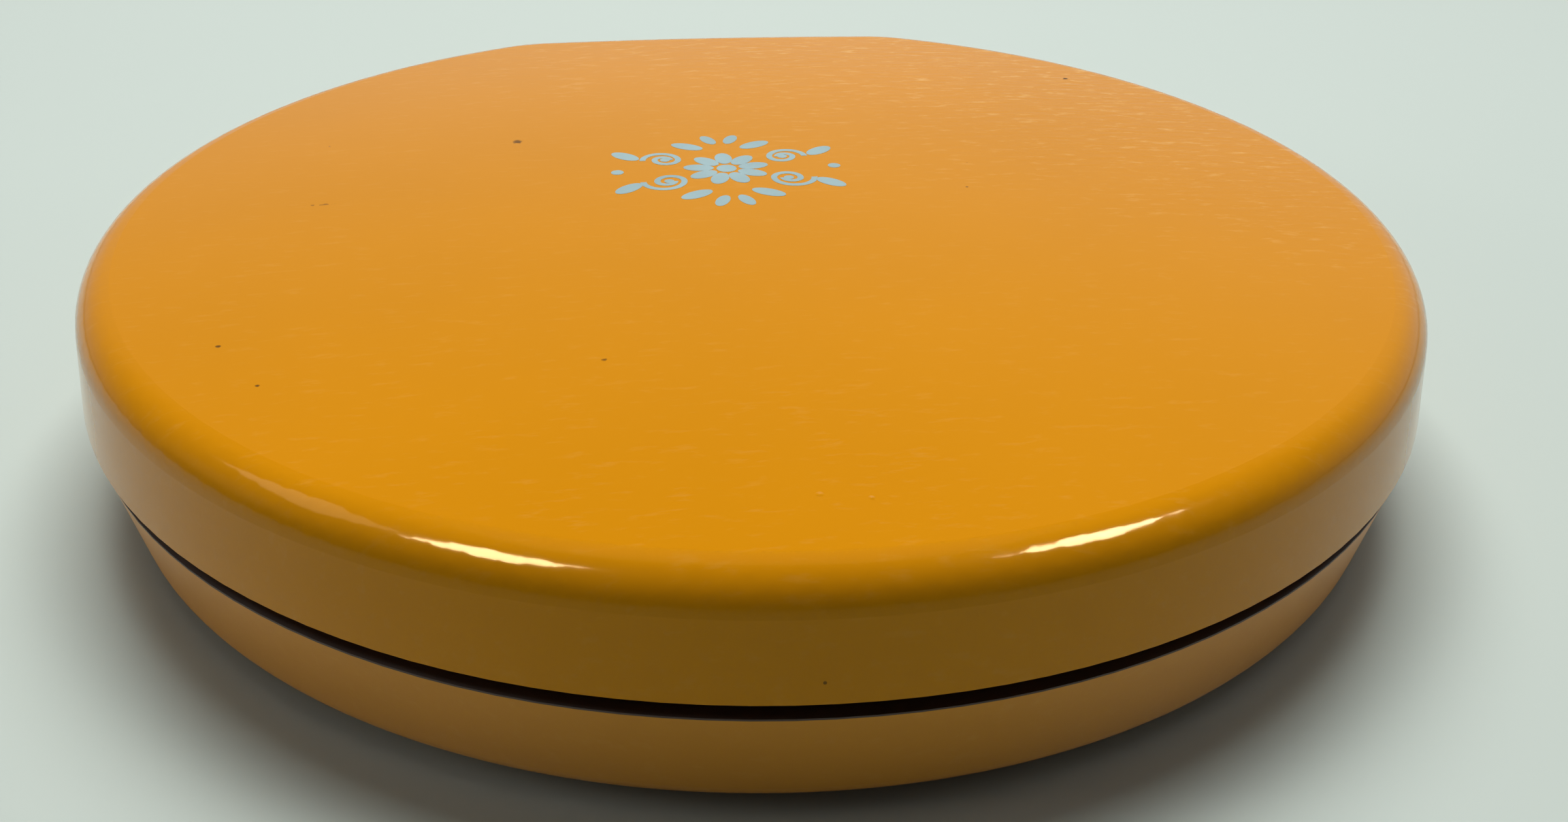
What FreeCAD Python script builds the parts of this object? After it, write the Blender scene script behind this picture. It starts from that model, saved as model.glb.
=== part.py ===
"""Electric shaver set in a round hinged travel case.

The case is a shallow two-part shell with a flat back, where two pinned hinges
join the lid to the base. Inside the lid is a round mirror. Inside the base a
moulded tray holds a mains shaver, its push-on attachments and an empty bay for
the lead.

The shaver is driven by a vibrating armature: coils on a U-shaped core pull an
armature from side to side at mains frequency. A rocker on an upright pivot
carries that swing into the shaving head, where a stud moves the cutter block
under the foil.

Frame: millimetres, +Z up, X to the right, +Y towards the hinges. The origin is
at the middle of the closed case's footprint, on the surface it stands on.
"""

import FreeCAD
import Part

import math
import os

Vector = FreeCAD.Vector
UP = Vector(0, 0, 1)
ALONG = Vector(1, 0, 0)
CENTRE = Vector(0, 0, 0)

# ---- case -----------------------------------------------------------------
case_radius = 120.0        # lid edge, from the middle of the round
flat_reach = 111.8         # middle of the round to the lid's flat back
corner_round = 24.0        # plan radius between the round and the flat
wall = 2.4                 # lid and base wall
foot_height = 3.0          # moulded foot ring under the base
foot_ring_radius = 94.0
foot_ring_width = 4.0
base_height = 17.3         # underside to rim
shadow_gap = 3.4           # open groove between rim and lid edge
dome_rise = 3.5            # lid's shoulder to its crown
rim_inset = 1.1            # the lid overhangs the base's rim by this much
foot_inset = 5.3           # how far the base's wall leans in at the bottom
lid_lean = 1.7             # how far the lid's wall leans in at the top
base_edge_round = 3.4
lid_edge_round = 6.7

# ---- tray -----------------------------------------------------------------
ledge_depth = 1.9          # tray flange seat below the rim
ledge_width = 1.6
tray_wall = 1.6
tray_deck = 1.8
tray_fit = 0.3             # flange to base wall, pocket undersides to base floor
collar_inset = 5.5         # collar that centres the lid
collar_wall = 1.6
collar_height = 6.3
piece_fit = 1.2            # pocket wall to the piece it holds
saddle_fit = 0.1           # handle above the saddles that carry it
saddle_floor = 0.7         # pocket floor to the underside of the handle
saddle_width = 3.0
saddle_drop = 5.0          # top of the saddles below the shaver's axis
finger_radius = 22.0       # round recess that lets fingers reach the handle
handle_pocket_round = 6.0
head_pocket_round = 5.0

# ---- lead bay, an open pocket behind the attachments ------------------------
bay_half_width = 50.0
bay_front = 46.0
bay_back = 92.0
bay_round = 12.0

# ---- hinges ---------------------------------------------------------------
hinge_offset = 3.6         # axis behind the lid's flat back
hinge_spacing = 56.0       # between the two hinges
knuckle_radius = 3.0
knuckle_length = 8.0
knuckle_gap = 0.3
pin_radius = 1.2
pin_fit = 0.05             # lid knuckle on the pin
pin_hold = 0.01            # base knuckle on the pin
lid_opening = 105.0        # degrees, where the heel meets the base's back
heel_depth = 2.8           # contact below the axis with the lid open
heel_thickness = 1.6
heel_gap = 0.1
hinge_arm = 2.4            # thickness of the lid's hinge arms
pad_depth = 4.4            # upright pad on the base's back, below the rim

# ---- mirror ---------------------------------------------------------------
mirror_radius = 75.0
mirror_thickness = 2.0
mirror_fit = 0.4
mirror_back_gap = 0.5      # ring to the inside of the dome
mirror_clearance = 1.2     # top of the shaver to the mirror's ring
mirror_chamfer = 0.5
ring_width = 4.4
ring_lip = 1.6             # thickness of the lip under the glass
ring_cover = 2.0           # how far the lip reaches over the glass
seat_rib_wall = 3.0

# ---- lid rest ribs ----------------------------------------------------------
rib_angles = (-150, -120, -90, -60, -30, 0, 180)
rib_width = 2.0
rib_height = 5.0
rib_rest = 0.1             # ribs above the collar

# ---- shaver handle, measured along its own axis from the middle -------------
handle_front = -46.0
handle_swell = 2.0         # where the handle is thickest
handle_shoulder = 48.0     # where the rounded tail begins
handle_tail = 60.0
handle_radius = 14.2
handle_end_radius = 12.6
neck_length = 8.0
neck_radius = 10.0
tail_radius = 7.4
handle_wall = 1.6
shaver_shift_x = 9.5
shaver_shift_y = -46.0

# ---- handle's screws: along, across ------------------------------------------
screw_spots = ((-38.0, -7.6), (-38.0, 7.6), (44.5, 0.0))
screw_radius = 1.25
screw_reach = 5.8          # above the parting plane
screw_head_radius = 2.3
screw_head_fit = 0.1
screw_head_height = 1.6
screw_head_drop = 7.4      # head's seat below the parting plane
screw_slot = 0.8
boss_radius = 2.9

# ---- switch ------------------------------------------------------------------
switch_at = -9.0
slider_length = 12.0
slider_half_width = 5.1
slider_travel = 4.0
slider_fit = 0.1           # slider to the sides of its well
slider_float = 0.05        # slider above the floor of its well
slider_proud = 0.8
slider_end_gap = 1.0
grip_pitch = 1.6
grip_width = 0.8
grip_depth = 0.6
well_depth = 1.8
pad_thickness = 1.8        # floor of the well
pad_margin = 3.0
stem_half_width = 1.0
stem_length = 2.0
stem_fit = 0.3
stem_depth = 1.8           # stem below the top of the contact block
block_depth = 3.6
block_half_width = 3.4
block_margin = 4.0

# ---- inlet ---------------------------------------------------------------------
bulkhead_at = 49.0
inlet_radius = 6.6
inlet_fit = 0.1
inlet_wall = 1.4
inlet_floor = 2.8
inlet_sink = 0.4           # socket's face below the handle's tail
inlet_pin_radius = 1.2
inlet_pin_spread = 2.6

# ---- drive -----------------------------------------------------------------------
pivot_at = -26.0
pivot_radius = 1.5
pivot_fit = 0.05
pivot_boss_radius = 3.0
pivot_boss_bottom = 5.2
pivot_top = 7.9
hub_ring_radius = 4.0      # rocker's hub
hub_ring_half = 4.5
thrust_gap = 0.2           # rocker's hub above the chassis boss
arm_half_width = 2.2
arm_half_height = 2.0
nose_length = 4.0          # slim end of the rocker, which carries the stud
nose_half_width = 1.2
stud_at = -60.0
stud_radius = 1.6
stud_half = 3.4
stud_fit = 0.05
armature_front = -13.5
armature_back = -5.0
armature_half_width = 3.4
armature_half_height = 3.4
spring_at = -18.0
spring_seat = 8.0
spring_post = 1.4
spring_touch = 0.02        # spring ends to what they press on
centring_radius = 1.4
centring_wire = 0.25
centring_turns = 5

# ---- magnet core and coils ----------------------------------------------------------
leg_inner = 5.8
leg_outer = 8.4
core_half_height = 3.0
core_front = -12.0
yoke_front = 24.0
core_back = 28.5
bobbin_front = 0.5
bobbin_back = 22.5
bobbin_wall = 0.6
bobbin_flange = 0.8
winding_depth = 1.4
winding_relief = 0.2       # winding below the edge of its flanges

# ---- chassis and capacitor --------------------------------------------------------------
chassis_front = -30.0
chassis_back = 41.0
chassis_half_width = 7.2
chassis_top = -7.2
chassis_thickness = 1.4
leg_rest_length = 6.0
seat_spots = (-8.0, 34.0)  # posts in the lower shell that carry the chassis
seat_post_radius = 2.5
capacitor_front = 31.0
capacitor_length = 9.0
capacitor_half_width = 5.5
capacitor_top = 4.0
capacitor_round = 1.0

# ---- shaving head -------------------------------------------------------------------------
head_half_length = 24.0
head_wall = 1.6
head_back_wall = 2.0
head_round = 4.0
head_front = -70.0
collar_radius = 12.2       # ring that slips over the handle's neck
collar_gap = 0.15
neck_fit = 0.05
frame_depth = 7.0
frame_round = 1.5
skirt_depth = 3.5
skirt_fit = 0.1
foil_radius = 7.05
foil_thickness = 0.2
foil_fit = 0.03
foil_axis = -72.0
foil_half_length = 21.5
foil_leg = 3.0             # foil's straight sides reach this far into the head
foil_room = 0.85           # foil's sides to the inside of the head
blade_fit = 0.08
blade_count = 20
blade_thickness = 0.6
blade_half_height = 6.0
blade_back = 3.5
carrier_half_length = 17.5
carrier_half_height = 4.0
carrier_depth = 4.5
prong_width = 1.8
prong_half_height = 3.0
prong_reach = 2.4          # prongs reach this far past the stud's middle
cutter_spring_offset = 11.5
cutter_spring_radius = 1.8
cutter_spring_wire = 0.3
cutter_spring_turns = 5
button_at = -63.0
button_radius = 2.5
button_fit = 0.1
button_flange = 0.7
button_flange_thickness = 1.1
button_proud = 0.9

# ---- attachments -----------------------------------------------------------------------------
peg_radius = 2.2
peg_fit = 0.2
peg_short = 3.0            # peg's top below the top of the hub
hub_radius = 6.0
hub_height = 9.4
hub_roof = 2.4
hub_collar_radius = 7.5
hub_collar_height = 2.2
cup_radius = 15.0
ball_radius = 10.5
brush_radius = 8.6
callus_radius = 9.0
felt_radius = 8.2
file_radius = 6.5
cuticle_radius = 5.0
roller_radius = 8.2
cup_height = 13.0
cup_full_height = 10.0     # where the cup reaches its full radius
cup_flare = 3.0            # cup's foot turns up this far in from its full radius
cup_lip = 1.8
cup_bowl_inset = 4.5
cup_bowl_height = 5.0
cup_floor = 3.0
nub_radius = 1.3
nub_tip_radius = 1.6
nub_height = 9.0
nub_root = 2.0             # nubs start inside the cup's floor
brush_block_height = 3.0
brush_block_round = 0.8
tuft_radius = 1.0
tuft_height = 13.0
tuft_rings = ((6, 0.38), (12, 0.76))  # tufts in each ring, and its share of the block's radius
callus_height = 12.0
callus_round = 1.5
felt_height = 10.0
felt_round = 2.5
file_foot = 2.0
file_height = 16.0
file_tip_radius = 2.2
file_tip_chamfer = 0.8
cuticle_height = 15.0
cuticle_shoulder = (4.4, 6.0)  # radius and height
cuticle_neck = (1.6, 14.0)
cuticle_tip_radius = 0.9
roller_middle = 6.0        # middle of the roller's dome above the hub
roller_nub_radius = 1.3
roller_nub_rings = ((38, 6), (72, 9))  # degrees from the top, and how many

# Where each attachment stands in the tray (x, y), and the room it needs.
attachment_spots = {
    "massage_cup": (-78.0, 10.0, cup_radius),
    "massage_ball": (-44.0, 2.0, ball_radius),
    "bristle_brush": (-20.0, 24.0, brush_radius),
    "callus_drum": (4.0, 0.0, callus_radius),
    "felt_buffer": (28.0, 23.0, felt_radius),
    "nail_file": (50.0, 0.0, hub_collar_radius),
    "cuticle_tip": (70.0, 20.0, hub_collar_radius),
    "dimple_roller": (92.0, 2.0, roller_radius),
}

# ---- places worked out from the sizes above ---------------------------------------------------
rim_z = foot_height + base_height
lid_edge_z = rim_z + shadow_gap
floor_z = foot_height + wall
ledge_z = rim_z - ledge_depth
deck_z = ledge_z + tray_deck
collar_z = deck_z + collar_height
pocket_bottom_z = floor_z + tray_fit
pocket_floor_z = pocket_bottom_z + tray_wall
axis_z = pocket_floor_z + saddle_floor + handle_radius
shaver_place = Vector(shaver_shift_x, shaver_shift_y, axis_z)

shoulder_radius = case_radius - lid_lean - lid_edge_round
dome_radius = (shoulder_radius ** 2 + dome_rise ** 2) / (2 * dome_rise)
ring_radius = mirror_radius + mirror_fit + ring_width
ring_sag = ring_radius ** 2 / (2 * dome_radius)
ring_z = axis_z + handle_radius + mirror_clearance
mirror_z = ring_z + ring_lip
mirror_back_z = mirror_z + mirror_thickness
crown_z = mirror_back_z + mirror_back_gap + ring_sag + wall
shoulder_z = crown_z - dome_rise

hinge_y = flat_reach + hinge_offset
hinge_z = rim_z
heel_reach = hinge_offset + rim_inset - heel_gap
heel_back = (heel_depth * math.sin(math.radians(lid_opening))
             - heel_reach * math.cos(math.radians(lid_opening)))
hinge_back = hinge_y + max(knuckle_radius, heel_back)
middle_y = (case_radius - hinge_back) / 2

neck_front = handle_front - neck_length
neck_bore = neck_radius - handle_wall
well_floor = handle_radius - well_depth
well_half_length = (slider_length + slider_travel) / 2 + slider_end_gap
slider_at = switch_at - slider_travel / 2
block_top = well_floor - pad_thickness
chassis_low = chassis_top - chassis_thickness
frame_front = head_front - frame_depth
head_half_height = foil_radius + foil_room + head_wall
blade_radius = foil_radius - foil_fit - foil_thickness - blade_fit
hub_z = pocket_floor_z
hub_top_z = hub_z + hub_height
far = 2 * case_radius


# ---- helpers --------------------------------------------------------------------------------
def box(x0, x1, y0, y1, z0, z1):
    return Part.makeBox(x1 - x0, y1 - y0, z1 - z0, Vector(x0, y0, z0))


def side_box(side, x0, x1, near, away, z0, z1):
    """Box on one side of the middle plane, between two distances from it."""
    y0, y1 = sorted((side * near, side * away))
    return box(x0, x1, y0, y1, z0, z1)


def rod(radius, start, end):
    """Cylinder from one point to another."""
    along = end.sub(start)
    return Part.makeCylinder(radius, along.Length, start, along)


def post(radius, x, y, z0, z1):
    return rod(radius, Vector(x, y, z0), Vector(x, y, z1))


def tube(outer, inner, z0, z1):
    """Upright tube about the case's middle."""
    return post(outer, 0, 0, z0, z1).cut(post(inner, 0, 0, z0 - 1, z1 + 1))


def fuse(shapes):
    joined = shapes[0]
    for shape in shapes[1:]:
        joined = joined.fuse(shape)
    return joined.removeSplitter()


def turned(profile, x, y):
    """Solid of revolution from (radius, height) points, about an upright line."""
    points = [Vector(x + radius, y, z) for radius, z in profile]
    face = Part.Face(Part.makePolygon(points + [points[0]]))
    return face.revolve(Vector(x, y, 0), UP, 360)


def ring_of(count, radius, x, y):
    """Points spaced evenly on a circle."""
    angles = [2 * math.pi * n / count for n in range(count)]
    return [(x + radius * math.cos(a), y + radius * math.sin(a)) for a in angles]


def rounded_plate(x0, x1, y0, y1, z0, z1, radius):
    """Block with its four upright edges rounded."""
    block = box(x0, x1, y0, y1, z0, z1)
    upright = [e for e in block.Edges if e.BoundBox.ZLength > (z1 - z0) / 2]
    return block.makeFillet(radius, upright)


def edges_at(shape, z):
    return [e for e in shape.Edges if all(abs(v.Z - z) < 1e-4 for v in e.Vertexes)]


def coil_spring(start, end, radius, wire, turns):
    """Helical spring between two points."""
    along = end.sub(start)
    length = along.Length - 2 * wire
    helix = Part.makeHelix(length / turns, length, radius)
    section = Part.Wire(Part.makeCircle(wire, Vector(radius, 0, 0), Vector(0, 1, 0)))
    spring = Part.Wire(helix).makePipeShell([section], True, True)
    first = start.add(along.normalize().multiply(wire))
    spring.Placement = FreeCAD.Placement(first, FreeCAD.Rotation(UP, along))
    return spring


def export(name, shape, place=CENTRE):
    """Moves a piece into the frame and writes it."""
    moved = shape.copy()
    moved.translate(place.add(Vector(0, middle_y, 0)))
    moved.exportStep("parts/" + name + ".step")
    state = "valid" if moved.isValid() else "NOT VALID"
    print(name, len(moved.Solids), "solids", round(moved.Volume), "mm3", state)


# ---- the case's plan shape ---------------------------------------------------------------------
def outline(inset, z):
    """The case's plan outline, a distance inside the lid's edge: arc, corners and flat."""
    radius = case_radius - inset
    corner = corner_round - inset
    corner_y = flat_reach - corner_round
    corner_x = math.sqrt((radius - corner) ** 2 - corner_y ** 2)
    stretch = radius / (radius - corner)
    half = (math.atan2(corner_y, corner_x) + math.pi / 2) / 2
    arc_end = Vector(corner_x * stretch, corner_y * stretch, z)
    corner_mid = Vector(corner_x + corner * math.cos(half), corner_y + corner * math.sin(half), z)
    flat_end = Vector(corner_x, corner_y + corner, z)
    left_arc, left_mid, left_flat = (Vector(-p.x, p.y, z) for p in (arc_end, corner_mid, flat_end))
    return Part.Wire([
        Part.Arc(left_arc, Vector(0, -radius, z), arc_end).toShape(),
        Part.Arc(arc_end, corner_mid, flat_end).toShape(),
        Part.LineSegment(flat_end, left_flat).toShape(),
        Part.Arc(left_flat, left_mid, left_arc).toShape(),
    ])


def prism(inset, z0, z1):
    return Part.Face(outline(inset, z0)).extrude(Vector(0, 0, z1 - z0))


def leaning(inset_low, z_low, inset_high, z_high):
    """Body between two outlines, so that its wall leans."""
    return Part.makeLoft([outline(inset_low, z_low), outline(inset_high, z_high)], True, True)


def ball(drop):
    """Sphere that the dome is part of, or one a distance below it."""
    return Part.makeSphere(dome_radius - drop, Vector(0, 0, crown_z - dome_radius))


def domed(inset):
    """Lid-shaped body: leaning wall, rolled edge and domed top, a distance inside the lid's."""
    top_z = crown_z + 1
    lean = lid_lean / (shoulder_z - lid_edge_z) * (top_z - lid_edge_z)
    body = leaning(inset, lid_edge_z, inset + lean, top_z).common(ball(inset))
    top = max(body.Faces, key=lambda face: face.CenterOfMass.z)
    return body.makeFillet(lid_edge_round - inset, top.Edges)


# ---- case pieces ------------------------------------------------------------------------------------
def hinge_stations():
    return [-hinge_spacing / 2, hinge_spacing / 2]


def on_axis(radius, x0, x1):
    return rod(radius, Vector(x0, hinge_y, hinge_z), Vector(x1, hinge_y, hinge_z))


def station_half():
    return 1.5 * knuckle_length + knuckle_gap


def pin_hole(x, radius):
    return on_axis(radius, x - station_half() - 1, x + station_half() + 1)


def base_shell():
    body = leaning(foot_inset, foot_height, rim_inset, rim_z)
    body = body.makeFillet(base_edge_round, edges_at(body, foot_height))
    recess = rim_inset + wall
    well = leaning(foot_inset + wall, floor_z, recess + ledge_width, ledge_z)
    well = well.makeFillet(base_edge_round - wall, edges_at(well, floor_z))
    foot = tube(foot_ring_radius + foot_ring_width / 2, foot_ring_radius - foot_ring_width / 2,
                0, foot_height + wall / 2)
    body = fuse([body.cut(well).cut(prism(recess, ledge_z, rim_z + 1)), foot])
    wall_y = flat_reach - rim_inset
    for x in hinge_stations():
        half = station_half()
        pieces = [box(x - half, x + half, wall_y - wall / 2, wall_y, rim_z - pad_depth, rim_z)]
        for x0 in (x - half, x + half - knuckle_length):
            x1 = x0 + knuckle_length
            pieces.append(on_axis(knuckle_radius, x0, x1))
            pieces.append(box(x0, x1, wall_y - wall / 2, hinge_y, hinge_z - knuckle_radius, hinge_z))
        body = fuse([body] + pieces).cut(pin_hole(x, pin_radius + pin_hold))
    return body


def heel(x0, x1):
    """Stop under the lid's knuckle, drawn with the lid open and turned back to closed."""
    plate = box(x0, x1, -heel_reach, heel_thickness - heel_reach, -heel_depth, 0)
    web = box(x0, x1, -heel_reach, 0, -heel_thickness, 0)
    stop = fuse([plate, web])
    stop.rotate(CENTRE, ALONG, lid_opening)
    stop.translate(Vector(0, hinge_y, hinge_z))
    return stop


def lid_shell():
    body = domed(0).cut(domed(wall))
    for degrees in rib_angles:
        rib = box(case_radius - collar_inset - collar_wall, case_radius - wall, -rib_width / 2,
                  rib_width / 2, collar_z + rib_rest, collar_z + rib_rest + rib_height)
        rib.rotate(CENTRE, UP, degrees)
        body = body.fuse(rib)
    seat = tube(ring_radius, ring_radius - seat_rib_wall, mirror_back_z, crown_z)
    body = body.fuse(seat.common(ball(wall / 2)))
    for x in hinge_stations():
        x0 = x - knuckle_length / 2
        x1 = x + knuckle_length / 2
        top_arm = box(x0, x1, flat_reach - wall / 2, hinge_y, lid_edge_z, lid_edge_z + hinge_arm)
        drop_arm = box(x0, x1, flat_reach, hinge_y, hinge_z, lid_edge_z + hinge_arm)
        body = fuse([body, on_axis(knuckle_radius, x0, x1), top_arm, drop_arm, heel(x0, x1)])
        body = body.cut(pin_hole(x, pin_radius + pin_fit))
    return body


def hinge_pins():
    return Part.makeCompound([
        on_axis(pin_radius, x - station_half(), x + station_half()) for x in hinge_stations()])


def mirror_glass():
    glass = post(mirror_radius, 0, 0, mirror_z, mirror_back_z)
    return glass.makeChamfer(mirror_chamfer, edges_at(glass, mirror_z))


def mirror_ring():
    ring = tube(ring_radius, mirror_radius - ring_cover, ring_z, mirror_back_z)
    return ring.cut(post(mirror_radius + mirror_fit, 0, 0, mirror_z, mirror_back_z + 1))


# ---- tray ------------------------------------------------------------------------------------------------
def shaver_pocket(grow, z0, z1):
    """Room for the shaver: a trough for the handle, a wider one for the head, a finger recess."""
    gap = piece_fit + grow
    x, y = shaver_shift_x, shaver_shift_y
    handle = rounded_plate(x + head_front, x + handle_tail + gap, y - handle_radius - gap,
                           y + handle_radius + gap, z0, z1, handle_pocket_round + grow)
    head = rounded_plate(x + foil_axis - foil_radius - gap, x + handle_front + gap,
                         y - head_half_length - gap, y + head_half_length + gap,
                         z0, z1, head_pocket_round + grow)
    return fuse([handle, head, post(finger_radius + grow, x + handle_swell, y, z0, z1)])


def lead_bay(grow, z0, z1):
    return rounded_plate(-bay_half_width - grow, bay_half_width + grow, bay_front - grow,
                         bay_back + grow, z0, z1, bay_round + grow)


def saddles():
    """Ribs across the trough, cut to the handle's shape, and a rest under the head."""
    x, y = shaver_shift_x, shaver_shift_y
    handle = handle_body(saddle_fit)
    handle.translate(shaver_place)
    side = handle_radius + piece_fit
    ribs = [box(x + at - saddle_width / 2, x + at + saddle_width / 2, y - side, y + side,
                pocket_floor_z, axis_z - saddle_drop).cut(handle) for at in (handle_front / 2, handle_tail / 2)]
    rest = box(x + head_front, x + neck_front - head_back_wall, y - head_half_length / 2,
               y + head_half_length / 2, pocket_floor_z, axis_z - head_half_height)
    return ribs + [rest]


def inner_tray():
    edge = rim_inset + wall + tray_fit
    deck = prism(edge, ledge_z, deck_z)
    collar = prism(collar_inset, deck_z, collar_z).cut(
        prism(collar_inset + collar_wall, deck_z - 1, collar_z + 1))
    shells = [shaver_pocket(tray_wall, pocket_bottom_z, deck_z), lead_bay(tray_wall, pocket_bottom_z, deck_z)]
    rooms = [shaver_pocket(0, pocket_floor_z, deck_z + 1), lead_bay(0, pocket_floor_z, deck_z + 1)]
    pegs = []
    for x, y, radius in attachment_spots.values():
        room = radius + piece_fit
        shells.append(post(room + tray_wall, x, y, pocket_bottom_z, deck_z))
        rooms.append(post(room, x, y, pocket_floor_z, deck_z + 1))
        pegs.append(post(peg_radius, x, y, pocket_bottom_z, hub_top_z - peg_short))
    body = fuse([deck, collar] + shells)
    for room in rooms:
        body = body.cut(room)
    return fuse([body] + pegs + saddles())


# ---- shaver handle --------------------------------------------------------------------------------------------
def turned_along(edges):
    return Part.Face(Part.Wire(edges)).revolve(CENTRE, ALONG, 360)


def polyline(points):
    return [Part.LineSegment(a, b).toShape() for a, b in zip(points, points[1:])]


def side_arc(grow):
    """The handle's long curve, from neck to tail, grown or shrunk."""
    start = Vector(handle_front - grow, handle_end_radius + grow, 0)
    middle = Vector(handle_swell, handle_radius + grow, 0)
    end = Vector(handle_shoulder, handle_end_radius + grow, 0)
    return start, end, Part.Arc(start, middle, end).toShape()


def handle_body(grow=0.0):
    start, shoulder, side = side_arc(grow)
    tail = Vector(handle_tail + grow, tail_radius + grow, 0)
    bulge = Vector(0.7 * tail.x + 0.3 * shoulder.x, 0.4 * tail.y + 0.6 * shoulder.y, 0)
    neck = [Vector(neck_front - grow, 0, 0), Vector(neck_front - grow, neck_radius + grow, 0),
            Vector(start.x, neck_radius + grow, 0), start]
    tail_end = [tail, Vector(tail.x, 0, 0), neck[0]]
    return turned_along(polyline(neck) + [side, Part.Arc(shoulder, bulge, tail).toShape()] + polyline(tail_end))


def handle_room():
    """The hollow inside the handle, with the neck's bore and the inlet's bore."""
    start, shoulder, side = side_arc(-handle_wall)
    end = Vector(bulkhead_at, shoulder.y - handle_wall / 2, 0)
    closing = [shoulder, end, Vector(end.x, 0, 0), Vector(start.x, 0, 0), start]
    room = turned_along([side] + polyline(closing))
    neck = rod(neck_bore, Vector(neck_front - 1, 0, 0), Vector(start.x + 1, 0, 0))
    inlet = rod(inlet_radius, Vector(bulkhead_at - 1, 0, 0), Vector(handle_tail + 1, 0, 0))
    return fuse([room, neck, inlet])


def casing_halves():
    """Upper and lower shell, parted on the handle's middle plane."""
    outer = handle_body()
    reach = handle_radius + 1
    pieces = [
        box(switch_at - well_half_length - handle_wall, switch_at + well_half_length + handle_wall,
            -slider_half_width - pad_margin, slider_half_width + pad_margin, block_top, reach),
        post(pivot_boss_radius, pivot_at, 0, pivot_boss_bottom, reach)]
    pieces += [post(boss_radius, x, y, -reach, reach) for x, y in screw_spots]
    pieces += [post(seat_post_radius, x, 0, -reach, chassis_low) for x in seat_spots]
    whole = fuse([outer.cut(handle_room())] + [piece.common(outer) for piece in pieces])

    upper = whole.common(box(-far, far, -far, far, 0, far))
    half_width = slider_half_width + slider_fit
    upper = upper.cut(box(switch_at - well_half_length, switch_at + well_half_length,
                          -half_width, half_width, well_floor, reach))
    slot_end = (stem_length + slider_travel) / 2 + stem_fit
    slot_side = stem_half_width + stem_fit
    upper = upper.cut(box(switch_at - slot_end, switch_at + slot_end, -slot_side, slot_side,
                          block_top - 1, reach))
    upper = upper.cut(post(pivot_radius, pivot_at, 0, 0, pivot_top))
    lower = whole.common(box(-far, far, -far, far, -far, 0))
    for x, y in screw_spots:
        upper = upper.cut(post(screw_radius, x, y, -1, screw_reach))
        lower = lower.cut(post(screw_radius, x, y, -reach, 1))
        lower = lower.cut(post(screw_head_radius + screw_head_fit, x, y, -reach, -screw_head_drop))
    return upper, lower


def casing_screws():
    screws = []
    for x, y in screw_spots:
        low = -screw_head_drop - screw_head_height
        shank = post(screw_radius, x, y, -screw_head_drop, screw_reach)
        head = post(screw_head_radius, x, y, low, -screw_head_drop)
        slot = box(x - 2 * screw_head_radius, x + 2 * screw_head_radius, y - screw_slot / 2,
                   y + screw_slot / 2, low - 1, low + screw_slot)
        screws.append(fuse([shank, head]).cut(slot))
    return Part.makeCompound(screws)


def power_slider():
    low = well_floor + slider_float
    top = handle_radius + slider_proud
    cap = rounded_plate(slider_at - slider_length / 2, slider_at + slider_length / 2,
                        -slider_half_width, slider_half_width, low, top, 1.5)
    for step in (-2, -1, 0, 1, 2):
        groove = slider_at + grip_pitch * step
        cap = cap.cut(box(groove - grip_width / 2, groove + grip_width / 2, 1 - slider_half_width,
                          slider_half_width - 1, top - grip_depth, top + 1))
    stem = box(slider_at - stem_length / 2, slider_at + stem_length / 2, -stem_half_width,
               stem_half_width, block_top - stem_depth, low)
    return fuse([cap, stem])


def switch_block():
    block = box(slider_at - block_margin, slider_at + slider_travel + block_margin, -block_half_width,
                block_half_width, block_top - block_depth, block_top)
    half = (stem_length + slider_travel) / 2 + stem_fit
    side = stem_half_width + stem_fit
    return block.cut(box(switch_at - half, switch_at + half, -side, side,
                         block_top - stem_depth - stem_fit, block_top + 1))


def pin_lines(start, end):
    return [rod(inlet_pin_radius, Vector(start, y, 0), Vector(end, y, 0))
            for y in (-inlet_pin_spread, inlet_pin_spread)]


def inlet_socket():
    face = handle_tail - inlet_sink
    body = rod(inlet_radius - inlet_fit, Vector(bulkhead_at, 0, 0), Vector(face, 0, 0))
    body = body.cut(rod(inlet_radius - inlet_wall, Vector(bulkhead_at + inlet_floor, 0, 0),
                        Vector(face + 1, 0, 0)))
    for hole in pin_lines(bulkhead_at - 1, face):
        body = body.cut(hole)
    return body


def inlet_pins():
    return Part.makeCompound(pin_lines(bulkhead_at, handle_tail - inlet_floor / 2))


# ---- drive -----------------------------------------------------------------------------------------------------
def motor_chassis():
    seat = -core_half_height
    pieces = [box(chassis_front, chassis_back, -chassis_half_width, chassis_half_width, chassis_low, chassis_top),
              post(pivot_boss_radius, pivot_at, 0, chassis_low, -hub_ring_half - thrust_gap),
              box(yoke_front, core_back, -chassis_half_width, chassis_half_width, chassis_low, seat)]
    for side in (-1, 1):
        pieces.append(side_box(side, core_front, core_front + leg_rest_length, leg_inner,
                               chassis_half_width, chassis_low, seat))
        away = spring_seat + spring_post
        x0, x1 = spring_at - centring_radius, spring_at + centring_radius
        pieces.append(side_box(side, x0, x1, spring_seat, away, chassis_top - 0.4, centring_radius))
        pieces.append(side_box(side, x0, x1, leg_inner, away, chassis_top - 0.4, chassis_top + 1))
    return fuse(pieces).cut(post(pivot_radius, pivot_at, 0, chassis_low - 1, 0))


def stator_core():
    half = core_half_height
    yoke = box(yoke_front, core_back, -leg_outer, leg_outer, -half, half)
    legs = [side_box(side, core_front, yoke_front, leg_inner, leg_outer, -half, half) for side in (-1, 1)]
    return fuse([yoke] + legs)


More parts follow.
